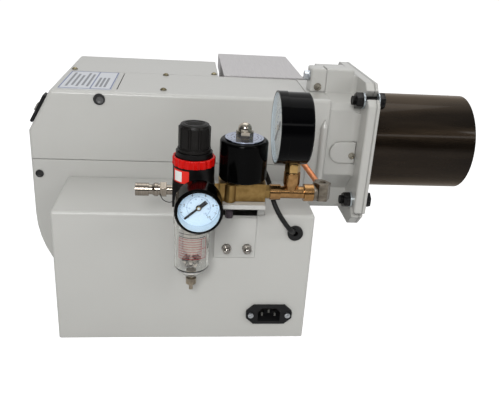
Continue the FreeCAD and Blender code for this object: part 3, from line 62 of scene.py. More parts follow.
# The coil's lead, 125 mm of 5 mm black flex: it leaves the coil's sleeve, hangs behind
# the tee and goes through the rubber grommet into the mains box.
lead_points = [(0.07309, -0.05206, 0.20050), (0.081, -0.046, 0.187), (0.087, -0.062, 0.160),
               (0.1123, -0.068, 0.1286), (0.1123, -0.022, 0.1286)]


def link(name, data, material=None):
    """A new object of this burner, at the origin."""
    thing = bpy.data.objects.new(name, data)
    bpy.context.scene.collection.objects.link(thing)
    if material is not None:
        data.materials.append(material)
    return thing


class Finish:
    """A material's nodes, from the surface's place to its shader."""

    def __init__(self, name, rough, metal=0.0):
        self.material = bpy.data.materials.new(name)
        self.material.use_nodes = True
        self.tree = self.material.node_tree
        self.shader = self.tree.nodes["Principled BSDF"]
        self.shader.inputs["Roughness"].default_value = rough
        self.shader.inputs["Metallic"].default_value = metal
        self.place = self.tree.nodes.new("ShaderNodeTexCoord").outputs["Object"]

    def add(self, kind, inputs=None, **settings):
        """A node with its settings, then its inputs: each a value or another node's socket."""
        node = self.tree.nodes.new(kind)
        for key, value in settings.items():
            setattr(node, key, value)
        for key, value in (inputs or {}).items():
            if isinstance(value, bpy.types.NodeSocket):
                self.tree.links.new(value, node.inputs[key])
            else:
                node.inputs[key].default_value = value
        return node

    def stretched(self, x, y, z):
        """The surface's place, stretched, for brushed and turned marks."""
        return self.add("ShaderNodeMapping", {"Vector": self.place, "Scale": (x, y, z)}).outputs[0]

    def speckle(self, scale, detail=4.0, place=None):
        """Even noise from 0 to 1; a larger scale is finer."""
        noise = self.add("ShaderNodeTexNoise", {"Vector": place or self.place, "Scale": scale,
                                                "Detail": detail})
        return noise.outputs["Fac"]

    def ramp(self, fac, *stops):
        """Colours or greys at places along a factor."""
        node = self.add("ShaderNodeValToRGB", {"Fac": fac})
        line = node.color_ramp
        while len(line.elements) < len(stops):
            line.elements.new(0.5)
        for element, (spot, colour) in zip(line.elements, stops):
            element.position = spot
            element.color = (*colour, 1.0) if isinstance(colour, tuple) else (colour,) * 3 + (1.0,)
        return node.outputs[0]

    def colour(self, socket):
        self.tree.links.new(socket, self.shader.inputs["Base Color"])
        return self

    def roughness(self, socket):
        self.tree.links.new(socket, self.shader.inputs["Roughness"])
        return self

    def math(self, operation, *values):
        return self.add("ShaderNodeMath", dict(enumerate(values)), operation=operation).outputs[0]

    def along(self, axis):
        """The surface's place along X, Y or Z, given as 0, 1 or 2."""
        return self.add("ShaderNodeSeparateXYZ", {0: self.place}).outputs[axis]

    def flattened(self, middle, kept):
        """The surface's place seen from a point, in the directions that are kept."""
        away = tuple(-v for v in middle)
        centred = self.add("ShaderNodeMapping", {"Vector": self.place, "Location": away})
        flat = self.add("ShaderNodeVectorMath", {0: centred.outputs[0], 1: kept}, operation="MULTIPLY")
        return flat.outputs[0]

    def length(self, vector):
        return self.add("ShaderNodeVectorMath", {0: vector}, operation="LENGTH").outputs["Value"]

    def mixed(self, factor, one, two, blend="MIX"):
        """The first colour where the factor is 0, the second where it is 1."""
        mix = self.add("ShaderNodeMix", {"Factor": factor, "A": one, "B": two}, data_type="RGBA",
                       blend_type=blend)
        return mix.outputs["Result"]

    def bump(self, height, distance, strength=1.0, edge=0.0):
        """Raised texture, and edges that catch the light as softened ones do."""
        made = self.add("ShaderNodeBump", {"Height": height, "Distance": distance, "Strength": strength})
        if edge:
            worn = self.add("ShaderNodeBevel", {"Radius": edge}, samples=4)
            self.tree.links.new(worn.outputs[0], made.inputs["Normal"])
        self.tree.links.new(made.outputs[0], self.shader.inputs["Normal"])
        return self


def flex_rubber():
    """Black flex with a faint dusty mottle."""
    made = Finish("flex_rubber", 0.48)
    mottle = made.speckle(420.0)
    made.colour(made.ramp(mottle, (0.3, 0.005), (0.75, 0.013)))
    made.roughness(made.ramp(mottle, (0.2, 0.34), (0.8, 0.48)))
    made.shader.inputs["Specular IOR Level"].default_value = 0.25
    return made.bump(made.speckle(2600.0, 2.0), 0.00004).material


def bent_wire(name, points, thick, steps, rounds):
    """A round wire from the first point to the last, drawn towards the points between."""
    wire = bpy.data.curves.new(name, "CURVE")
    wire.dimensions = "3D"
    path = wire.splines.new("NURBS")
    path.points.add(len(points) - 1)
    for spot, point in zip(path.points, points):
        spot.co = (*point, 1.0)
    path.order_u = 3
    path.use_endpoint_u = True
    path.resolution_u = steps
    wire.bevel_depth = thick / 2
    wire.bevel_resolution = rounds
    wire.use_fill_caps = True
    return wire


def dress(material, *names):
    """Gives CAD pieces their finish."""
    for name in names:
        data = nodes[name].data
        data.materials.clear()
        data.materials.append(material)
        for face in data.polygons:
            face.material_index = 0


rubber = flex_rubber()
coil_flex = link("coil_flex", bent_wire("coil_flex", lead_points, thick=0.005, steps=24, rounds=5), rubber)
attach(coil_flex, "burner")
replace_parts(coil_flex, "coil_lead")
dress(rubber, "cable_grommet")

# Floor and light. The burner stands on a white sheet in an even white room. The main lamp
# is above and a little left of the camera, a weaker one at its right. A wide one over the
# top lights what faces up, and a thin strip draws long highlights on round black pieces.


def white_sheet():
    """Matt white that takes shadows; a glow seen by the camera alone lifts it to white."""
    made = bpy.data.materials.new("white_sheet")
    made.use_nodes = True
    tree = made.node_tree
    tree.nodes.clear()
    out = tree.nodes.new("ShaderNodeOutputMaterial")
    both = tree.nodes.new("ShaderNodeAddShader")
    matt = tree.nodes.new("ShaderNodeBsdfDiffuse")
    matt.inputs["Color"].default_value = (0.62, 0.62, 0.62, 1.0)
    glow = tree.nodes.new("ShaderNodeEmission")
    path = tree.nodes.new("ShaderNodeLightPath")
    seen = tree.nodes.new("ShaderNodeMath")
    seen.operation = "MAXIMUM"
    gloss = tree.nodes.new("ShaderNodeMath")
    gloss.operation = "MULTIPLY"
    gloss.inputs[1].default_value = 0.05
    level = tree.nodes.new("ShaderNodeMath")
    level.operation = "MULTIPLY_ADD"
    level.inputs[1].default_value = 0.78
    tree.links.new(path.outputs["Is Camera Ray"], seen.inputs[0])
    tree.links.new(path.outputs["Is Transmission Ray"], seen.inputs[1])
    tree.links.new(path.outputs["Is Glossy Ray"], gloss.inputs[0])
    tree.links.new(seen.outputs[0], level.inputs[0])
    tree.links.new(gloss.outputs[0], level.inputs[2])
    tree.links.new(level.outputs[0], glow.inputs["Strength"])
    tree.links.new(matt.outputs[0], both.inputs[0])
    tree.links.new(glow.outputs[0], both.inputs[1])
    tree.links.new(both.outputs[0], out.inputs["Surface"])
    return made


half_sheet = 6.0
sheet_top = -0.0004
corners = [(x * half_sheet, y * half_sheet) for x, y in ((-1, -1), (1, -1), (1, 1), (-1, 1))]
square = bpy.data.meshes.new("floor_sheet")
square.from_pydata([(x, y, sheet_top) for x, y in corners], [], [(0, 1, 2, 3)])
sheet = link("floor_sheet", square, white_sheet())


def studio_room():
    """Seen white; lights evenly; in gloss it is pale behind and above, dark in front."""
    room = bpy.data.worlds.new("studio_room")
    room.use_nodes = True
    tree = room.node_tree
    path = tree.nodes.new("ShaderNodeLightPath").outputs
    seen = tree.nodes.new("ShaderNodeMath")
    seen.operation = "MAXIMUM"
    tree.links.new(path["Is Camera Ray"], seen.inputs[0])
    tree.links.new(path["Is Transmission Ray"], seen.inputs[1])
    level = tree.nodes.new("ShaderNodeMapRange")
    level.inputs["To Min"].default_value = 0.44
    level.inputs["To Max"].default_value = 1.0
    tree.links.new(seen.outputs[0], level.inputs["Value"])
    ways = tree.nodes.new("ShaderNodeSeparateXYZ")
    tree.links.new(tree.nodes.new("ShaderNodeTexCoord").outputs["Generated"], ways.inputs[0])
    parts = []
    for way, start, end, most in (("Y", 0.0, 0.6, 0.70), ("Z", 0.45, 0.9, 0.45)):
        part = tree.nodes.new("ShaderNodeMapRange")
        part.interpolation_type = "SMOOTHSTEP"
        for key, value in (("From Min", start), ("From Max", end), ("To Min", 0.05), ("To Max", most)):
            part.inputs[key].default_value = value
        tree.links.new(ways.outputs[way], part.inputs["Value"])
        parts.append(part)
    shine = tree.nodes.new("ShaderNodeMath")
    tree.links.new(parts[0].outputs[0], shine.inputs[0])
    tree.links.new(parts[1].outputs[0], shine.inputs[1])
    choose = tree.nodes.new("ShaderNodeMix")
    tree.links.new(path["Is Glossy Ray"], choose.inputs["Factor"])
    tree.links.new(level.outputs[0], choose.inputs["A"])
    tree.links.new(shine.outputs[0], choose.inputs["B"])
    tree.links.new(choose.outputs["Result"], tree.nodes["Background"].inputs["Strength"])
    tree.nodes["Background"].inputs["Color"].default_value = (1.0, 1.0, 1.0, 1.0)
    return room


bpy.context.scene.world = studio_room()


def soft_lamp(name, spot, aim, wide, high, power):
    """A rectangular lamp that looks from its spot at its aim."""
    lamp = bpy.data.lights.new(name, "AREA")
    lamp.shape = "RECTANGLE"
    lamp.size = wide
    lamp.size_y = high
    lamp.energy = power
    thing = bpy.data.objects.new(name, lamp)
    bpy.context.scene.collection.objects.link(thing)
    look = (Vector(aim) - Vector(spot)).to_track_quat("-Z", "Y")
    thing.matrix_world = Matrix.Translation(spot) @ look.to_matrix().to_4x4()


soft_lamp("lamp_front_left", (-0.25, -1.25, 0.95), (0.05, 0.05, 0.15), wide=0.40, high=0.40, power=11.10)
soft_lamp("lamp_front_right", (1.15, -0.85, 0.85), (0.05, 0.05, 0.12), wide=0.40, high=0.50, power=3.00)
soft_lamp("lamp_above", (0.15, 0.35, 1.50), (0.05, 0.10, 0.10), wide=1.2, high=1.0, power=4.70)
soft_lamp("lamp_strip", (0.25, -0.74, 0.58), (0.10, 0.0, 0.18), wide=1.3, high=0.07, power=0.70)

# Mains box, burner casing and covers: folded sheet steel, baked light grey paint with
# a slight orange peel. They are drawn in the solids and only painted here.


def baked_paint(name, tone, rough, peel, edge, coat):
    """Warm grey paint: faint clouding, a little dust, and edges softened by its thickness."""
    made = Finish(name, rough)
    cloud = made.speckle(9.0, 3.0)
    dust = made.speckle(850.0, 3.0)
    clouded = made.ramp(cloud, (0.35, tuple(v * 0.965 for v in tone)), (0.68, tone))
    dusty = (*(v * 0.86 for v in tone), 1.0)
    made.colour(made.mixed(made.ramp(dust, (0.62, 0.0), (0.78, 0.22)), clouded, dusty))
    made.roughness(made.ramp(cloud, (0.3, rough - 0.05), (0.7, rough + 0.07)))
    made.shader.inputs["Coat Weight"].default_value = coat
    made.shader.inputs["Coat Roughness"].default_value = 0.14
    return made.bump(made.speckle(peel, 2.0), 0.00006, 0.45, edge=edge).material


sheet_paint = baked_paint("sheet_paint", (0.492, 0.490, 0.466), rough=0.40, peel=520.0, edge=0.0013,
                          coat=0.28)
dress(sheet_paint, "base_box", "lower_casing", "near_cover", "far_cover", "valve_bracket", "bracket_plate",
      "deck_plate", "front_plate", "base_floor_plate")

# Cover screws and the rating plate. The plate is a white aluminium sheet with thin blue
# rules and plain grey bars, stuck flat on the near cover; the screws are yellow-passivated.


def plated_steel(name, tone, rough, dark=None):
    """Plated or bare metal with fine scratches and a slightly uneven tone."""
    made = Finish(name, rough, 1.0)
    uneven = made.speckle(160.0, 3.0)
    darker = dark or tuple(v * 0.72 for v in tone)
    made.colour(made.ramp(uneven, (0.36, darker), (0.64, tone)))
    made.roughness(made.ramp(uneven, (0.3, rough + 0.10), (0.7, rough - 0.04)))
    return made.bump(made.speckle(1400.0, 2.0), 0.00003, 0.5, edge=0.00035).material


dress(plated_steel("yellow_plating", (0.34, 0.30, 0.19), 0.34, (0.13, 0.11, 0.065)), "cover_screws")


def slab(shape, low, high, skin=0):
    """Adds a block between two corners, given in millimetres."""
    made = bmesh.ops.create_cube(shape, size=1.0)["verts"]
    for v in made:
        v.co = Vector([(low[i] + (high[i] - low[i]) * (v.co[i] + 0.5)) * 0.001 for i in range(3)])
    for face in {f for v in made for f in v.link_faces}:
        face.material_index = skin


def as_mesh(name, shape, *materials):
    """Turns a bmesh into a mesh, and is done with the bmesh."""
    data = bpy.data.meshes.new(name)
    shape.to_mesh(data)
    shape.free()
    for material in materials:
        data.materials.append(material)
    return data


def finished(name, shape, body, *materials):
    """Turns a bmesh into a piece that rides on a body."""
    bmesh.ops.recalc_face_normals(shape, faces=shape.faces)
    data = as_mesh(name, shape, *materials)
    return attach(link(name, data), body)


def matt_print(name, tone, rough):
    """Printed card or enamel, a little uneven in tone."""
    made = Finish(name, rough)
    grain = made.speckle(900.0, 2.0)
    made.colour(made.ramp(grain, (0.3, tuple(v * 0.93 for v in tone)), (0.7, tone)))
    made.shader.inputs["Specular IOR Level"].default_value = 0.15
    return made.bump(grain, 0.00001, 0.3).material


plate_white = matt_print("plate_white", (0.62, 0.64, 0.68), 0.28)
plate_blue = matt_print("plate_blue", (0.16, 0.19, 0.32), 0.35)
plate_grey = matt_print("plate_grey", (0.24, 0.25, 0.27), 0.4)
left = -140.0
right = -83.0
front = 59.0
back = 151.0
divide = -106.4
cover_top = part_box("near_cover")[1].z * 1000.0
plate_low = cover_top + 0.05
plate_high = cover_top + 0.55
shape = bmesh.new()
slab(shape, (left, front, plate_low), (right, back, plate_high))
rules = [(left + 0.4, left + 1.8, front + 0.6, back - 0.6),
         (right - 1.8, right - 0.4, front + 0.6, back - 0.6),
         (divide, divide + 1.4, front + 1.0, back - 1.0),
         (left + 1.0, right - 1.0, front + 0.6, front + 2.6),
         (left + 1.0, right - 1.0, back - 2.6, back - 0.6)]
bar = 2.6
bars = []
for row in range(5):
    x = left + 6.0 + 5.6 * row
    bars.append((x, x + bar, front + 11.0 + 5.0 * (row % 2), back - 9.0 - 7.0 * (row % 3)))
for row in range(3):
    x = divide + 4.4 + 4.6 * row
    bars.append((x, x + bar, front + 11.0, back - 33.0))
for skin, patches in ((1, rules), (2, bars)):
    for x0, x1, y0, y1 in patches:
        slab(shape, (x0, y0, plate_high - 0.05), (x1, y1, plate_high + 0.05), skin)
finished("rating_plate", shape, "burner", plate_white, plate_blue, plate_grey)

# Head casting, its clamp block, sight cover and the tube's flange: cast aluminium under
# the same paint, pebbled by the mould and glossier. The clamp's hexagon bolt is bright
# zinc, the socket screws a browner steel, and the gasket a grey board.
cast_paint = baked_paint("cast_paint", (0.480, 0.476, 0.450), rough=0.32, peel=260.0, edge=0.0024,
                         coat=0.50)
dress(cast_paint, "head_casting", "clamp_block", "sight_cover", "tube_flange")
dress(plated_steel("zinc_plating", (0.66, 0.69, 0.72), 0.27, (0.40, 0.43, 0.47)), "clamp_bolt",
      "body_bolts")
dress(plated_steel("screw_steel", (0.46, 0.43, 0.36), 0.22, (0.14, 0.125, 0.10)), "socket_screws")
dress(matt_print("gasket_board", (0.34, 0.34, 0.32), 0.8), "flange_gasket")

# Flange bolts: four hexagon bolts of black steel that hold the tube's flange. Each has a
# bright zinc washer at either face and a few turns of cut thread behind its nut.
flange_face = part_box("tube_flange")[1].x
washers_at = (flange_face + 0.001, flange_face - 0.01555)
half_washer = 0.00098
behind_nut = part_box("flange_bolts")[0].x + 0.0023
pitch = 0.0012


def black_bolts():
    """Black oxide, with the washers' places along the tube left bright."""
    made = Finish("black_bolts", 0.36, 1.0)
    along = made.along(0)
    bands = [made.math("COMPARE", along, middle, half_washer) for middle in washers_at]
    bright = made.math("MAXIMUM", *bands)
    smear = made.speckle(300.0)
    dark = made.ramp(smear, (0.3, (0.012, 0.012, 0.013)), (0.7, (0.045, 0.044, 0.043)))
    made.colour(made.mixed(bright, dark, (0.55, 0.60, 0.63, 1.0)))
    return made.bump(made.speckle(1500.0), 0.00004, 0.5, edge=0.0005).material


bolt_black = black_bolts()
dress(bolt_black, "flange_bolts")


def copies_tree():
    """Sets one element out along a step, turned about local Z, or both."""
    tree = bpy.data.node_groups.new("spaced_copies", "GeometryNodeTree")
    for label, kind in (("Element", "Geometry"), ("Count", "Int"), ("Start", "Float"), ("Turn", "Float"),
                        ("Step", "Vector"), ("Finish", "Material")):
        tree.interface.new_socket(label, in_out="INPUT", socket_type="NodeSocket" + kind)
    tree.interface.new_socket("Geometry", in_out="OUTPUT", socket_type="NodeSocketGeometry")
    made = tree.nodes.new
    wire = tree.links.new
    given = made("NodeGroupInput").outputs
    points = made("GeometryNodePoints")
    wire(given["Count"], points.inputs["Count"])
    index = made("GeometryNodeInputIndex").outputs[0]
    angle = made("ShaderNodeMath")
    angle.operation = "MULTIPLY_ADD"
    wire(index, angle.inputs[0])
    wire(given["Turn"], angle.inputs[1])
    wire(given["Start"], angle.inputs[2])
    turn = made("ShaderNodeCombineXYZ")
    wire(angle.outputs[0], turn.inputs["Z"])
    stride = made("ShaderNodeVectorMath")
    stride.operation = "SCALE"
    wire(given["Step"], stride.inputs[0])
    wire(index, stride.inputs["Scale"])
    moved = made("GeometryNodeSetPosition")
    wire(points.outputs[0], moved.inputs["Geometry"])
    wire(stride.outputs[0], moved.inputs["Position"])
    copies = made("GeometryNodeInstanceOnPoints")
    wire(moved.outputs[0], copies.inputs["Points"])
    wire(given["Element"], copies.inputs["Instance"])
    wire(turn.outputs[0], copies.inputs["Rotation"])
    solid = made("GeometryNodeRealizeInstances")
    wire(copies.outputs[0], solid.inputs[0])
    skin = made("GeometryNodeSetMaterial")
    wire(solid.outputs[0], skin.inputs["Geometry"])
    wire(given["Finish"], skin.inputs["Material"])
    wire(skin.outputs[0], made("NodeGroupOutput").inputs[0])
    return tree


copies = copies_tree()


def spaced(shape, material, count, start=0.0, turn=0.0, step=(0.0, 0.0, 0.0)):
    """A plain mesh of an element repeated by the tree."""
    bmesh.ops.recalc_face_normals(shape, faces=shape.faces)
    host = link("host", as_mesh("element", shape))
    inputs = host.modifiers.new("copies", "NODES")
    inputs.node_group = copies
    given = {"Count": count, "Start": start, "Turn": turn, "Step": step, "Finish": material}
    for item in copies.interface.items_tree:
        if item.name in given:
            inputs[item.identifier] = given[item.name]
    bpy.context.view_layer.update()
    made = bpy.data.meshes.new_from_object(host.evaluated_get(bpy.context.evaluated_depsgraph_get()))
    bpy.data.objects.remove(host)
    return made


def placed(name, meshes, body):
    """One piece from several meshes, each with the matrix that puts it in its place."""
    whole = bmesh.new()
    materials = []
    for data, matrix in meshes:
        part = data.copy()
        part.transform(matrix)
        for material in part.materials:
            if material not in materials:
                materials.append(material)
        for face in part.polygons:
            face.material_index = materials.index(part.materials[face.material_index])
        whole.from_mesh(part)
    data = as_mesh(name, whole, *materials)
    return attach(link(name, data), body)


def thread_turn(radius, depth):
    """One ridge of a thread, as a closed ring round local Z."""
    sides = 20
    shape = bmesh.new()
    profile = [(radius, -pitch * 0.5), (radius + depth, 0.0), (radius, pitch * 0.5), (radius - depth, 0.0)]
    rings = []
    for step in range(sides):
        angle = 2 * math.pi * step / sides
        rings.append([shape.verts.new((r * math.cos(angle), r * math.sin(angle), z)) for r, z in profile])
    for step in range(sides):
        one, two = rings[step], rings[(step + 1) % sides]
        for k in range(4):
            shape.faces.new((one[k], two[k], two[(k + 1) % 4], one[(k + 1) % 4]))
    return shape


to_x = Matrix.Rotation(math.pi / 2, 4, "Y")
bolt_thread = spaced(thread_turn(radius=0.005, depth=0.00035), bolt_black, 3, step=(0, 0, -pitch))
ends = []
for y in (0.0485, 0.1835):
    for z in (0.1259, 0.2459):
        ends.append((bolt_thread, Matrix.Translation((behind_nut, y, z)) @ to_x))
placed("flange_bolt_threads", ends, "burner")

# Blast tube: heavy steel pipe with brown-black mill scale, burnt darker at the mouth. Its
# drawn marks run along it, and a thin oil film gives the long highlight its sharp edge.
tube_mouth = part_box("blast_tube")[1].x


def burnt_steel():
    """Mill scale with drawn marks, darker towards the mouth."""
    made = Finish("burnt_steel", 0.30, 0.9)
    drawn = made.speckle(34.0, 5.0, made.stretched(0.35, 2.2, 2.2))
    scale = made.ramp(drawn, (0.25, (0.014, 0.0090, 0.0055)), (0.55, (0.025, 0.0170, 0.0105)),
                      (0.85, (0.040, 0.0280, 0.0175)))
    hot = made.add("ShaderNodeMapRange", {"Value": made.along(0), "From Min": tube_mouth - 0.073,
                                          "From Max": tube_mouth}).outputs[0]
    made.colour(made.mixed(1.0, scale, made.ramp(hot, (0.0, 1.0), (1.0, 0.62)), "MULTIPLY"))
    made.roughness(made.ramp(drawn, (0.3, 0.24), (0.75, 0.34)))
    made.shader.inputs["Specular Tint"].default_value = (0.86, 0.74, 0.62, 1.0)
    made.shader.inputs["Coat Weight"].default_value = 0.24
    made.shader.inputs["Coat Roughness"].default_value = 0.06
    return made.bump(drawn, 0.00003, 0.2, edge=0.0006).material


dress(burnt_steel(), "blast_tube")

# Oil tank with its lid: folded from satin aluminium-zinc sheet and left unpainted, with
# fine brush marks along its length.


def satin_sheet():
    """Brushed sheet, a little warmer and cooler from mark to mark."""
    made = Finish("satin_sheet", 0.42, 0.85)
    brushed = made.speckle(60.0, 4.0, made.stretched(14.0, 0.7, 3.0))
    made.colour(made.ramp(brushed, (0.3, (0.535, 0.520, 0.525)), (0.7, (0.575, 0.560, 0.565))))
    made.roughness(made.ramp(brushed, (0.3, 0.47), (0.7, 0.42)))
    return made.bump(brushed, 0.00001, 0.12, edge=0.0008).material


dress(satin_sheet(), "tank_lid", "oil_tank")

# Small plastic parts: the hole plugs, the reset switch's strip on the slanted face and the
# mains inlet are black mouldings pushed into the sheet. The button itself is grey.
# Middle of the grey disc painted on the top hole plug as its dome's highlight.
highlight_middle = (-0.0938, 0.0, 0.2356)


def moulded(name, tone, rough, grain=700.0):
    """Moulded plastic with a fine spark-eroded texture."""
    made = Finish(name, rough)
    cloud = made.speckle(45.0)
    made.colour(made.ramp(cloud, (0.3, tuple(v * 0.8 for v in tone)), (0.7, tone)))
    made.roughness(made.ramp(cloud, (0.3, rough - 0.05), (0.7, rough + 0.05)))
    made.shader.inputs["Specular IOR Level"].default_value = 0.18
    return made.bump(made.speckle(grain, 2.0), 0.00003, 0.6, edge=0.0005).material


case_black = moulded("case_black", (0.012, 0.012, 0.013), 0.45)
dress(case_black, "control_bezel", "mains_inlet")


def dished_plug():
    """Black plug; on the top one a grey disc is painted as its glossy dome's highlight, set a little low so
    the black rim is widest above. The low one stays black.
    """
    made = Finish("dished_plug", 0.42)
    out = made.length(made.flattened(highlight_middle, (1.0, 0.0, 1.0)))
    dust = made.speckle(500.0)
    # inside this radius the plug is painted grey as its highlight; the speckle mottles both the black and
    # the painted grey
    inside = made.add("ShaderNodeMapRange", {"Value": out, "From Min": 0.0042, "From Max": 0.0034})
    made.colour(made.mixed(inside.outputs[0], made.ramp(dust, (0.3, 0.008), (0.7, 0.012)),
                           made.ramp(dust, (0.3, 0.060), (0.7, 0.095))))
    return made.bump(dust, 0.00002, 0.4, edge=0.0004).material


dress(dished_plug(), "hole_plugs")
dress(moulded("button_grey", (0.30, 0.29, 0.27), 0.5), "reset_button")

# Pan screws of the mains inlet and of the valve, and the inlet's three pins. The screws
# are one group of solids, so that their height over the floor tells the two kinds apart.
above_inlet = 0.10


def two_screw_finishes():
    """Bright zinc on the low inlet screws, near black on the valve's high ones under the shelf."""
    made = Finish("two_screw_finishes", 0.30, 1.0)
    valve = made.math("GREATER_THAN", made.along(2), above_inlet)
    uneven = made.speckle(160.0, 3.0)
    made.colour(made.mixed(valve, made.ramp(uneven, (0.36, (0.42, 0.44, 0.46)), (0.64, (0.74, 0.76, 0.78))),
                           made.ramp(uneven, (0.36, (0.030, 0.026, 0.030)), (0.64, (0.085, 0.070, 0.080)))))
    return made.bump(made.speckle(1400.0, 2.0), 0.00003, 0.5, edge=0.00035).material


dress(two_screw_finishes(), "pan_screws")
# The inlet's pins are dull grey metal, darkened as painted shade of the inlet's recess.
dress(plated_steel("pins_in_painted_shade", (0.20, 0.20, 0.19), 0.45, (0.11, 0.11, 0.10)), "inlet_pins")

# Quick plug of the air line, and the bracket's domed bolts: turned steel with bright nickel
# on it. The plug has a thin safety wire that hangs in a loop under it.


def nickel_plate():
    """Nickel over lathe marks that run round the plug."""
    made = Finish("nickel_plate", 0.14, 1.0)
    turned_marks = made.speckle(40.0, 4.0, made.stretched(60.0, 2.0, 2.0))
    made.colour(made.ramp(turned_marks, (0.3, (0.17, 0.145, 0.115)), (0.7, (0.36, 0.32, 0.27))))
    made.roughness(made.ramp(turned_marks, (0.3, 0.17), (0.7, 0.10)))
    return made.bump(turned_marks, 0.00001, 0.2, edge=0.0003).material


dress(nickel_plate(), "air_nipple")
dress(plated_steel("bright_nickel", (0.60, 0.57, 0.53), 0.10, (0.24, 0.22, 0.20)), "bracket_bolts")
loop_points = [(-0.0240, -0.0745, 0.1795), (-0.0232, -0.0755, 0.1760), (-0.0205, -0.0755, 0.1728),
               (-0.0165, -0.0745, 0.1708), (-0.0130, -0.0725, 0.1704), (-0.0120, -0.0700, 0.1712)]
plug_wire = link("plug_wire", bent_wire("plug_wire", loop_points, thick=0.0007, steps=12, rounds=3), rubber)
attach(plug_wire, "burner")

# Filter regulator: black glass-filled body, a red lock ring with sixteen finger notches and
# a fluted turning knob with three marks on its cap, all moulded and set on one upright axis.
knob_low, knob_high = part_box("regulator_knob")
reg_at = (knob_low + knob_high) / 2
reg_at.z = 0.0
cap_top = knob_high.z * 1000.0 - 0.2
ring_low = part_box("lock_ring")[0].z * 1000.0 + 0.1
ring_high = ring_low + 7.7
ring_inside = 17.8
# radii of one lobe and one notch, at ten even steps
notch = (20.0, 20.0, 20.0, 20.0, 19.95, 19.7, 19.15, 19.0, 19.15, 19.7)
dress(moulded("body_black", (0.0035, 0.003, 0.003), 0.36), "regulator_body")
ring_red = moulded("ring_red", (0.62, 0.004, 0.002), 0.30, 500.0)
knob_black = moulded("knob_black", (0.0085, 0.0075, 0.0068), 0.42)
dress(knob_black, "regulator_knob")


def ring_of(shape, profiles, middle):
    """Closed ring through one profile after another; points are radius and height in mm."""
    count = len(profiles)
    rows = []
    for step, profile in enumerate(profiles):
        angle = 2 * math.pi * step / count
        way = Vector((math.cos(angle), math.sin(angle), 0.0))
        rows.append([shape.verts.new(middle + way * r * 0.001 + Vector((0.0, 0.0, z * 0.001)))
                     for r, z in profile])
    for step in range(count):
        one, two = rows[step], rows[(step + 1) % count]
        for k in range(len(one)):
            after = (k + 1) % len(one)
            shape.faces.new((one[k], two[k], two[after], one[after]))


shape = bmesh.new()
lobed = []
for r in notch * 16:
    lobed.append([(ring_inside, ring_low), (r, ring_low), (r, ring_high - 1.1), (r - 0.35, ring_high - 0.3),
                  (r - 1.0, ring_high), (ring_inside, ring_high)])
ring_of(shape, lobed, reg_at)
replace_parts(finished("low_lock_ring", shape, "burner", ring_red), "lock_ring")
shape = bmesh.new()
rim = [(11.2, cap_top), (11.2, cap_top + 0.55), (9.6, cap_top + 0.75), (9.3, cap_top + 0.35),
       (9.3, cap_top)]
ring_of(shape, [rim] * 48, reg_at)
for offset, half in ((-3.4, 6.5), (0.0, 8.0), (3.4, 6.5)):
    x = reg_at.x * 1000.0
    y = reg_at.y * 1000.0 + offset
    slab(shape, (x - half, y - 0.55, cap_top), (x + half, y + 0.55, cap_top + 0.62))
finished("knob_cap_marks", shape, "knob", knob_black)
shape = bmesh.new()
half_flute = 3.2
slab(shape, (13.3, -half_flute, 4.0), (14.6, half_flute, 22.5))
bmesh.ops.bevel(shape, geom=shape.edges[:], offset=0.00025, segments=2, affect="EDGES")
flutes = spaced(shape, knob_black, 10, start=math.radians(18.0), turn=math.radians(36.0))
placed("knob_flutes", [(flutes, Matrix.Translation((reg_at.x, reg_at.y, knob_low.z)))], "knob")

# Sticker on the regulator: thin red vinyl with a white field, both left bare, wrapped on
# the left of the round body.


def wrapped(shape, radius, turn0, turn1, low, high, skin):
    """A thin patch wrapped on the regulator; turns are degrees from straight ahead."""
    cells = 10
    thick = 0.00012
    for r in (radius, radius + thick):
        rows = []
        for step in range(cells + 1):
            angle = math.radians(turn0 + (turn1 - turn0) * step / cells - 90.0)
            x, y = reg_at.x + r * math.cos(angle), reg_at.y + r * math.sin(angle)
            rows.append((shape.verts.new((x, y, low)), shape.verts.new((x, y, high))))
        for one, two in zip(rows, rows[1:]):
            shape.faces.new((one[0], two[0], two[1], one[1])).material_index = skin
        if r == radius:
            inner = rows
    for a, b in ((0, 0), (cells, cells)):
        shape.faces.new((inner[a][0], inner[a][1], rows[b][1], rows[b][0])).material_index = skin
    for k in range(cells):
        for side in (0, 1):
            shape.faces.new((inner[k][side], inner[k + 1][side], rows[k + 1][side],
                             rows[k][side])).material_index = skin


sticker_radius = 0.01958
sticker_low = 0.1940
shape = bmesh.new()
wrapped(shape, sticker_radius, -66.0, -13.0, sticker_low, sticker_low + 0.0124, 0)
wrapped(shape, sticker_radius + 0.00014, -60.0, -34.0, sticker_low + 0.0013, sticker_low + 0.0110, 1)
finished("regulator_sticker", shape, "burner", matt_print("sticker_red", (0.78, 0.03, 0.02), 0.3),
         matt_print("sticker_white", (0.80, 0.80, 0.78), 0.3))

# Clear bowl of polycarbonate, with the filter stem and baffle inside and a red form
# printed on it: plain rules, no words.


def clear_plastic():
    """Moulded polycarbonate, with a faint haze."""
    made = Finish("clear_plastic", 0.06)
    made.shader.inputs["Transmission Weight"].default_value = 1.0
    made.shader.inputs["IOR"].default_value = 1.42
    haze = made.speckle(60.0)
    made.colour(made.ramp(haze, (0.3, (0.93, 0.93, 0.91)), (0.7, (0.98, 0.98, 0.97))))
    made.roughness(made.ramp(haze, (0.3, 0.03), (0.7, 0.09)))
    return made.material


dress(clear_plastic(), "filter_bowl")
cartridge_low = 0.1145


def cartridge_and_baffle():
    """Pale sintered cartridge; below it a dark brown baffle and stub, with pale spots painted on them as
    metallic glints.
    """
    made = Finish("cartridge_and_baffle", 0.45)
    pale = made.math("GREATER_THAN", made.along(2), cartridge_low)
    grain = made.speckle(900.0, 3.0)
    # pale spots on the dark baffle and stub, painted as their metallic glints
    painted_glints = made.speckle(260.0, 2.0)
    made.colour(made.mixed(pale, made.ramp(painted_glints, (0.44, (0.020, 0.015, 0.012)), (0.58, (0.55, 0.50, 0.44))),
                           made.ramp(grain, (0.3, (0.50, 0.48, 0.43)), (0.7, (0.66, 0.64, 0.58)))))
    return made.bump(grain, 0.00004, 0.5, edge=0.0004).material


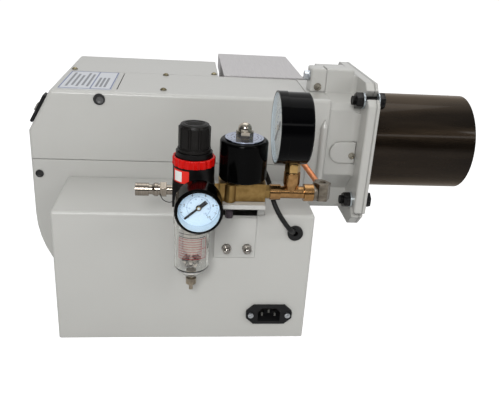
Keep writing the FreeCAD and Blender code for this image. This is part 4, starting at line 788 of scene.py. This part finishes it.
dress(cartridge_and_baffle(), "filter_element")
dress(plated_steel("drain_brass", (0.42, 0.36, 0.28), 0.34), "drain_valve")
print_red = matt_print("print_red", (0.42, 0.05, 0.05), 0.5)
print_dark = matt_print("print_dark", (0.04, 0.04, 0.04), 0.5)
shape = bmesh.new()
bowl_radius = 0.01742
form_low = 0.1155
form_left = -46.0
for turn in (form_left, 30.0, 47.0):
    wrapped(shape, bowl_radius, turn, turn + 1.2, form_low, form_low + 0.0215, 0)
for row in range(9):
    z = form_low + 0.00264 * row
    form_right = 48.0 if row in (0, 4, 8) else 30.0
    wrapped(shape, bowl_radius, form_left, form_right, z, z + 0.00045, 0)
for z in (0.1383, 0.1420):
    wrapped(shape, bowl_radius, -47.0, 44.0, z, z + 0.0006, 1)
finished("bowl_print", shape, "burner", print_red, print_dark)

# Small pressure gauge: gloss black steel case, pale card dial with plain figures, black
# pointer on a brass boss, and a flat window.


def gloss_black(name, rough):
    """Gloss enamel, nearly black, given as its nodes so that a case can add its dial's well."""
    made = Finish(name, rough)
    haze = made.speckle(30.0)
    made.colour(made.ramp(haze, (0.3, 0.0004), (0.7, 0.0011)))
    made.roughness(made.ramp(haze, (0.3, rough), (0.7, rough + 0.05)))
    made.shader.inputs["Specular IOR Level"].default_value = 0.06
    return made.bump(made.speckle(700.0, 2.0), 0.00001, 0.3, edge=0.0007)


def pale_well(made, middle, kept, radius, dark):
    """A case's colour: dark outside, pale on the wall of its dial's well."""
    inside = made.math("LESS_THAN", made.length(made.flattened(middle, kept)), radius)
    return made.mixed(inside, dark, (0.64, 0.77, 0.86, 1.0))


small_low, small_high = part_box("small_gauge_case")
small_middle = (small_low + small_high) / 2
small_case = gloss_black("small_case", 0.14)
soft_black = small_case.shader.inputs["Base Color"].links[0].from_socket
small_well = pale_well(small_case, small_middle, kept=(1.0, 0.0, 1.0), radius=0.01856, dark=soft_black)
small_case.colour(small_well)
dress(small_case.material, "small_gauge_case")
dress(matt_print("dial_pale", (0.70, 0.86, 1.0), 0.4), "small_gauge_dial")
ink = matt_print("dial_ink", (0.012, 0.012, 0.014), 0.5)
ink_blue = matt_print("dial_blue", (0.08, 0.20, 0.42), 0.5)
dress(ink, "small_gauge_pointer", "big_gauge_pointer")


def window_glass():
    """Flat glass: clear from the front, with a pale sheen when it is seen at a slant."""
    made = Finish("window_glass", 0.04)
    slant = made.add("ShaderNodeLayerWeight", {"Blend": 0.5}).outputs["Facing"]
    made.tree.links.new(made.ramp(slant, (0.5, 0.02), (0.95, 0.42)), made.shader.inputs["Alpha"])
    smear = made.speckle(25.0)
    made.colour(made.ramp(smear, (0.3, 0.70), (0.7, 0.78)))
    made.roughness(made.ramp(smear, (0.3, 0.03), (0.7, 0.07)))
    return made.material


glass = window_glass()


def disc(radius, thick, material, sides=64):
    """A disc that stands on local Z's zero, in metres."""
    shape = bmesh.new()
    made = bmesh.ops.create_cone(shape, cap_ends=True, segments=sides, radius1=radius, radius2=radius,
                                 depth=thick)
    for v in made["verts"]:
        v.co.z += thick / 2
    return as_mesh("disc", shape, material)


ink_depth = 0.00002


def tick(inner, outer, wide):
    """A dial's mark along local X, in millimetres."""
    shape = bmesh.new()
    slab(shape, (inner, -wide / 2, 0.0), (outer, wide / 2, 2000.0 * ink_depth))
    return shape


def figure(text, size, radius, angle, material):
    """A figure on a dial, upright, centred at an angle from the dial's right."""
    words = bpy.data.curves.new("figure", "FONT")
    words.body = text
    words.size = size
    words.align_x = "CENTER"
    words.align_y = "CENTER"
    words.extrude = ink_depth
    words.materials.append(material)
    host = link("host", words)
    bpy.context.view_layer.update()
    data = bpy.data.meshes.new_from_object(host.evaluated_get(bpy.context.evaluated_depsgraph_get()))
    bpy.data.objects.remove(host)
    return data, Matrix.Translation((radius * math.cos(angle), radius * math.sin(angle), ink_depth))


def dial_face(radius, last, step, inner_last):
    """Marks and figures of a dial about local Z, from lower left to lower right, on two scales."""
    start = math.radians(225.0)
    sweep = math.radians(-270.0)
    r = radius * 1000.0
    parts = []
    scales = ((0.88, 0.95, 0.014, ink, 50), (0.83, 0.95, 0.028, ink, 10),
              (0.56, 0.60, 0.016, ink_blue, 60), (0.55, 0.62, 0.028, ink_blue, 6))
    for inner, outer, wide, material, spaces in scales:
        mark = tick(r * inner, r * outer, r * wide)
        parts.append((spaced(mark, material, spaces + 1, start, sweep / spaces), Matrix()))
    for number in range(0, last + 1, step):
        angle = start + sweep * number / last
        parts.append(figure(str(number), radius * 0.19, radius * 0.72, angle, ink))
    for number in range(0, inner_last + 1, 20):
        angle = start + sweep * number / inner_last
        parts.append(figure(str(number), radius * 0.10, radius * 0.46, angle, ink_blue))
    return parts


# local Z of a dial looks out of it: towards -Y here, and its X runs to the right
look_front = Matrix.Rotation(math.pi / 2, 4, "X")


def on_small_axis(deep):
    """A place on the small gauge's axis, at a depth along Y."""
    return Matrix.Translation((small_middle.x, deep, small_middle.z)) @ look_front


brass_boss = plated_steel("boss_brass", (0.62, 0.50, 0.28), 0.3)
small_card = on_small_axis(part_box("small_gauge_dial")[0].y - 0.00002)
small_tip = on_small_axis(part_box("small_gauge_pointer")[0].y + 0.00005)
small_print = dial_face(radius=0.0180, last=10, step=2, inner_last=140)
small_pane = disc(radius=0.0184, thick=0.0008, material=glass)
small_boss = disc(radius=0.0017, thick=0.0007, material=brass_boss, sides=24)
placed("small_dial_print", [(data, small_card @ at) for data, at in small_print], "burner")
placed("small_window", [(small_pane, on_small_axis(small_low.y + 0.0020))], "burner")
placed("small_needle_boss", [(small_boss, small_tip)], "small_needle")

# Solenoid valve: cast brass body, gloss black coil, and a bright printed disc under a
# domed nut.
nut_low, nut_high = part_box("coil_nut")
nut_radius = 0.0081


def valve_metal(name, tone, dark, rough, grain, edge=0.0005):
    """Bare metal whose tone clouds over a few millimetres."""
    made = Finish(name, rough, 1.0)
    cloud = made.speckle(210.0, 6.0)
    made.colour(made.ramp(cloud, (0.3, dark), (0.7, tone)))
    made.roughness(made.ramp(cloud, (0.3, rough + 0.10), (0.7, rough - 0.04)))
    return made.bump(made.speckle(grain, 3.0), 0.00004, 0.4, edge=edge).material


dress(valve_metal("cast_brass", (0.345, 0.220, 0.080), (0.240, 0.148, 0.050), 0.36, 1500.0), "valve_body")
dress(gloss_black("coil_black", 0.10).material, "solenoid_coil")


def disc_and_nut():
    """Bluish disc with plain printed arcs; bright nickel within the nut's radius."""
    made = Finish("disc_and_nut", 0.14, 1.0)
    flat = made.flattened((nut_low + nut_high) / 2, (1.0, 1.0, 0.0))
    out = made.length(flat)
    wave = made.math("SINE", made.math("MULTIPLY", out, 2100.0))
    broken = made.speckle(260.0, 1.0, flat)
    printed = made.math("MULTIPLY", made.ramp(wave, (0.60, 0.0), (0.72, 1.0)),
                        made.ramp(broken, (0.50, 0.0), (0.54, 1.0)))
    face = made.mixed(printed, (0.42, 0.46, 0.58, 1.0), (0.03, 0.04, 0.08, 1.0))
    past_nut = made.add("ShaderNodeMapRange", {"Value": out, "From Min": nut_radius - 0.0002,
                                               "From Max": nut_radius + 0.0002}).outputs[0]
    made.colour(made.mixed(past_nut, (0.42, 0.38, 0.32, 1.0), face))
    return made.bump(made.speckle(900.0), 0.00002, 0.4, edge=0.0004).material


dress(disc_and_nut(), "coil_nut")

# Tee, elbow and pipe: the tee is turned brass, the elbow grey steel with a union nut, and
# the pipe drawn copper that goes back to the head casting.
dress(valve_metal("turned_brass", (0.44, 0.250, 0.103), (0.27, 0.146, 0.056), 0.19, 700.0, 0.0003),
      "tee_fitting")
dress(valve_metal("elbow_steel", (0.27, 0.235, 0.19), (0.13, 0.112, 0.088), 0.32, 900.0), "elbow_fitting")
dress(valve_metal("drawn_copper", (0.76, 0.32, 0.15), (0.56, 0.20, 0.09), 0.34, 400.0), "copper_pipe")

# Large pressure gauge: deep gloss black case on a turned brass stem. Its dial faces the
# quick plug, in a pale well behind flat glass.
big_radius = 0.0338
big_low, big_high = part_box("big_gauge_case")
big_middle = Vector((0.0, (big_low.y + big_high.y) / 2, big_high.z - big_radius))
stem_top = big_high.z - 2 * big_radius
well_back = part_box("big_gauge_dial")[1].x + 0.0015


def case_and_stem():
    """Gloss black above the stem's shoulder, turned brass below it, pale in the dial's well."""
    made = Finish("case_and_stem", 0.16)
    brass = made.math("LESS_THAN", made.along(2), stem_top)
    cloud = made.speckle(120.0)
    stem = made.ramp(cloud, (0.3, (0.40, 0.25, 0.09)), (0.7, (0.60, 0.39, 0.155)))
    outside = made.mixed(brass, (0.0008, 0.0008, 0.0011, 1.0), stem)
    before = made.math("LESS_THAN", made.along(0), well_back)
    well = pale_well(made, big_middle, kept=(0.0, 1.0, 1.0), radius=0.03206, dark=outside)
    made.colour(made.mixed(before, outside, well))
    made.tree.links.new(brass, made.shader.inputs["Metallic"])
    made.roughness(made.ramp(brass, (0.0, 0.10), (1.0, 0.28)))
    made.shader.inputs["Specular IOR Level"].default_value = 0.06
    return made.bump(made.speckle(700.0, 2.0), 0.00001, 0.3, edge=0.0008).material


dress(case_and_stem(), "big_gauge_case")
dress(matt_print("dial_green", (0.84, 0.92, 0.90), 0.4), "big_gauge_dial")
# this dial's local Z looks towards -X, and its X runs towards -Y
look_left = Matrix(((0, 0, -1, 0), (-1, 0, 0, 0), (0, 1, 0, 0), (0, 0, 0, 1)))


def on_big_axis(x):
    """A place on the large gauge's axis, at a distance along X."""
    return Matrix.Translation((x, big_middle.y, big_middle.z)) @ look_left


big_card = on_big_axis(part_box("big_gauge_dial")[0].x - 0.00002)
big_tip = on_big_axis(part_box("big_gauge_pointer")[0].x + 0.00005)
big_print = dial_face(radius=0.0312, last=16, step=4, inner_last=220)
big_pane = disc(radius=0.0318, thick=0.0010, material=glass)
big_boss = disc(radius=0.0024, thick=0.0009, material=brass_boss, sides=24)
placed("big_dial_print", [(data, big_card @ at) for data, at in big_print], "burner")
placed("big_window", [(big_pane, on_big_axis(big_low.x + 0.0009))], "burner")
placed("big_needle_boss", [(big_boss, big_tip)], "big_needle")

# Inside, seen only when the covers are off: a black moulded fan wheel, enamelled motor and
# power unit, grey moulded transformer and controller, brass lance and heater, and a scaled
# ring with its electrodes.
dress(case_black, "fan_wheel")
dress(moulded("motor_enamel", (0.06, 0.07, 0.085), 0.45, 300.0), "fan_motor", "power_unit")
dress(moulded("unit_grey", (0.18, 0.18, 0.19), 0.5), "ignition_transformer", "burner_controller")
dress(valve_metal("lance_brass", (0.66, 0.48, 0.22), (0.45, 0.30, 0.12), 0.36, 700.0), "nozzle_lance",
      "tank_heater")
dress(plated_steel("scaled_steel", (0.22, 0.20, 0.19), 0.5, (0.10, 0.08, 0.07)), "diffuser_disc",
      "electrodes")
dress(matt_print("white_ceramic", (0.74, 0.72, 0.67), 0.3), "electrode_insulators")
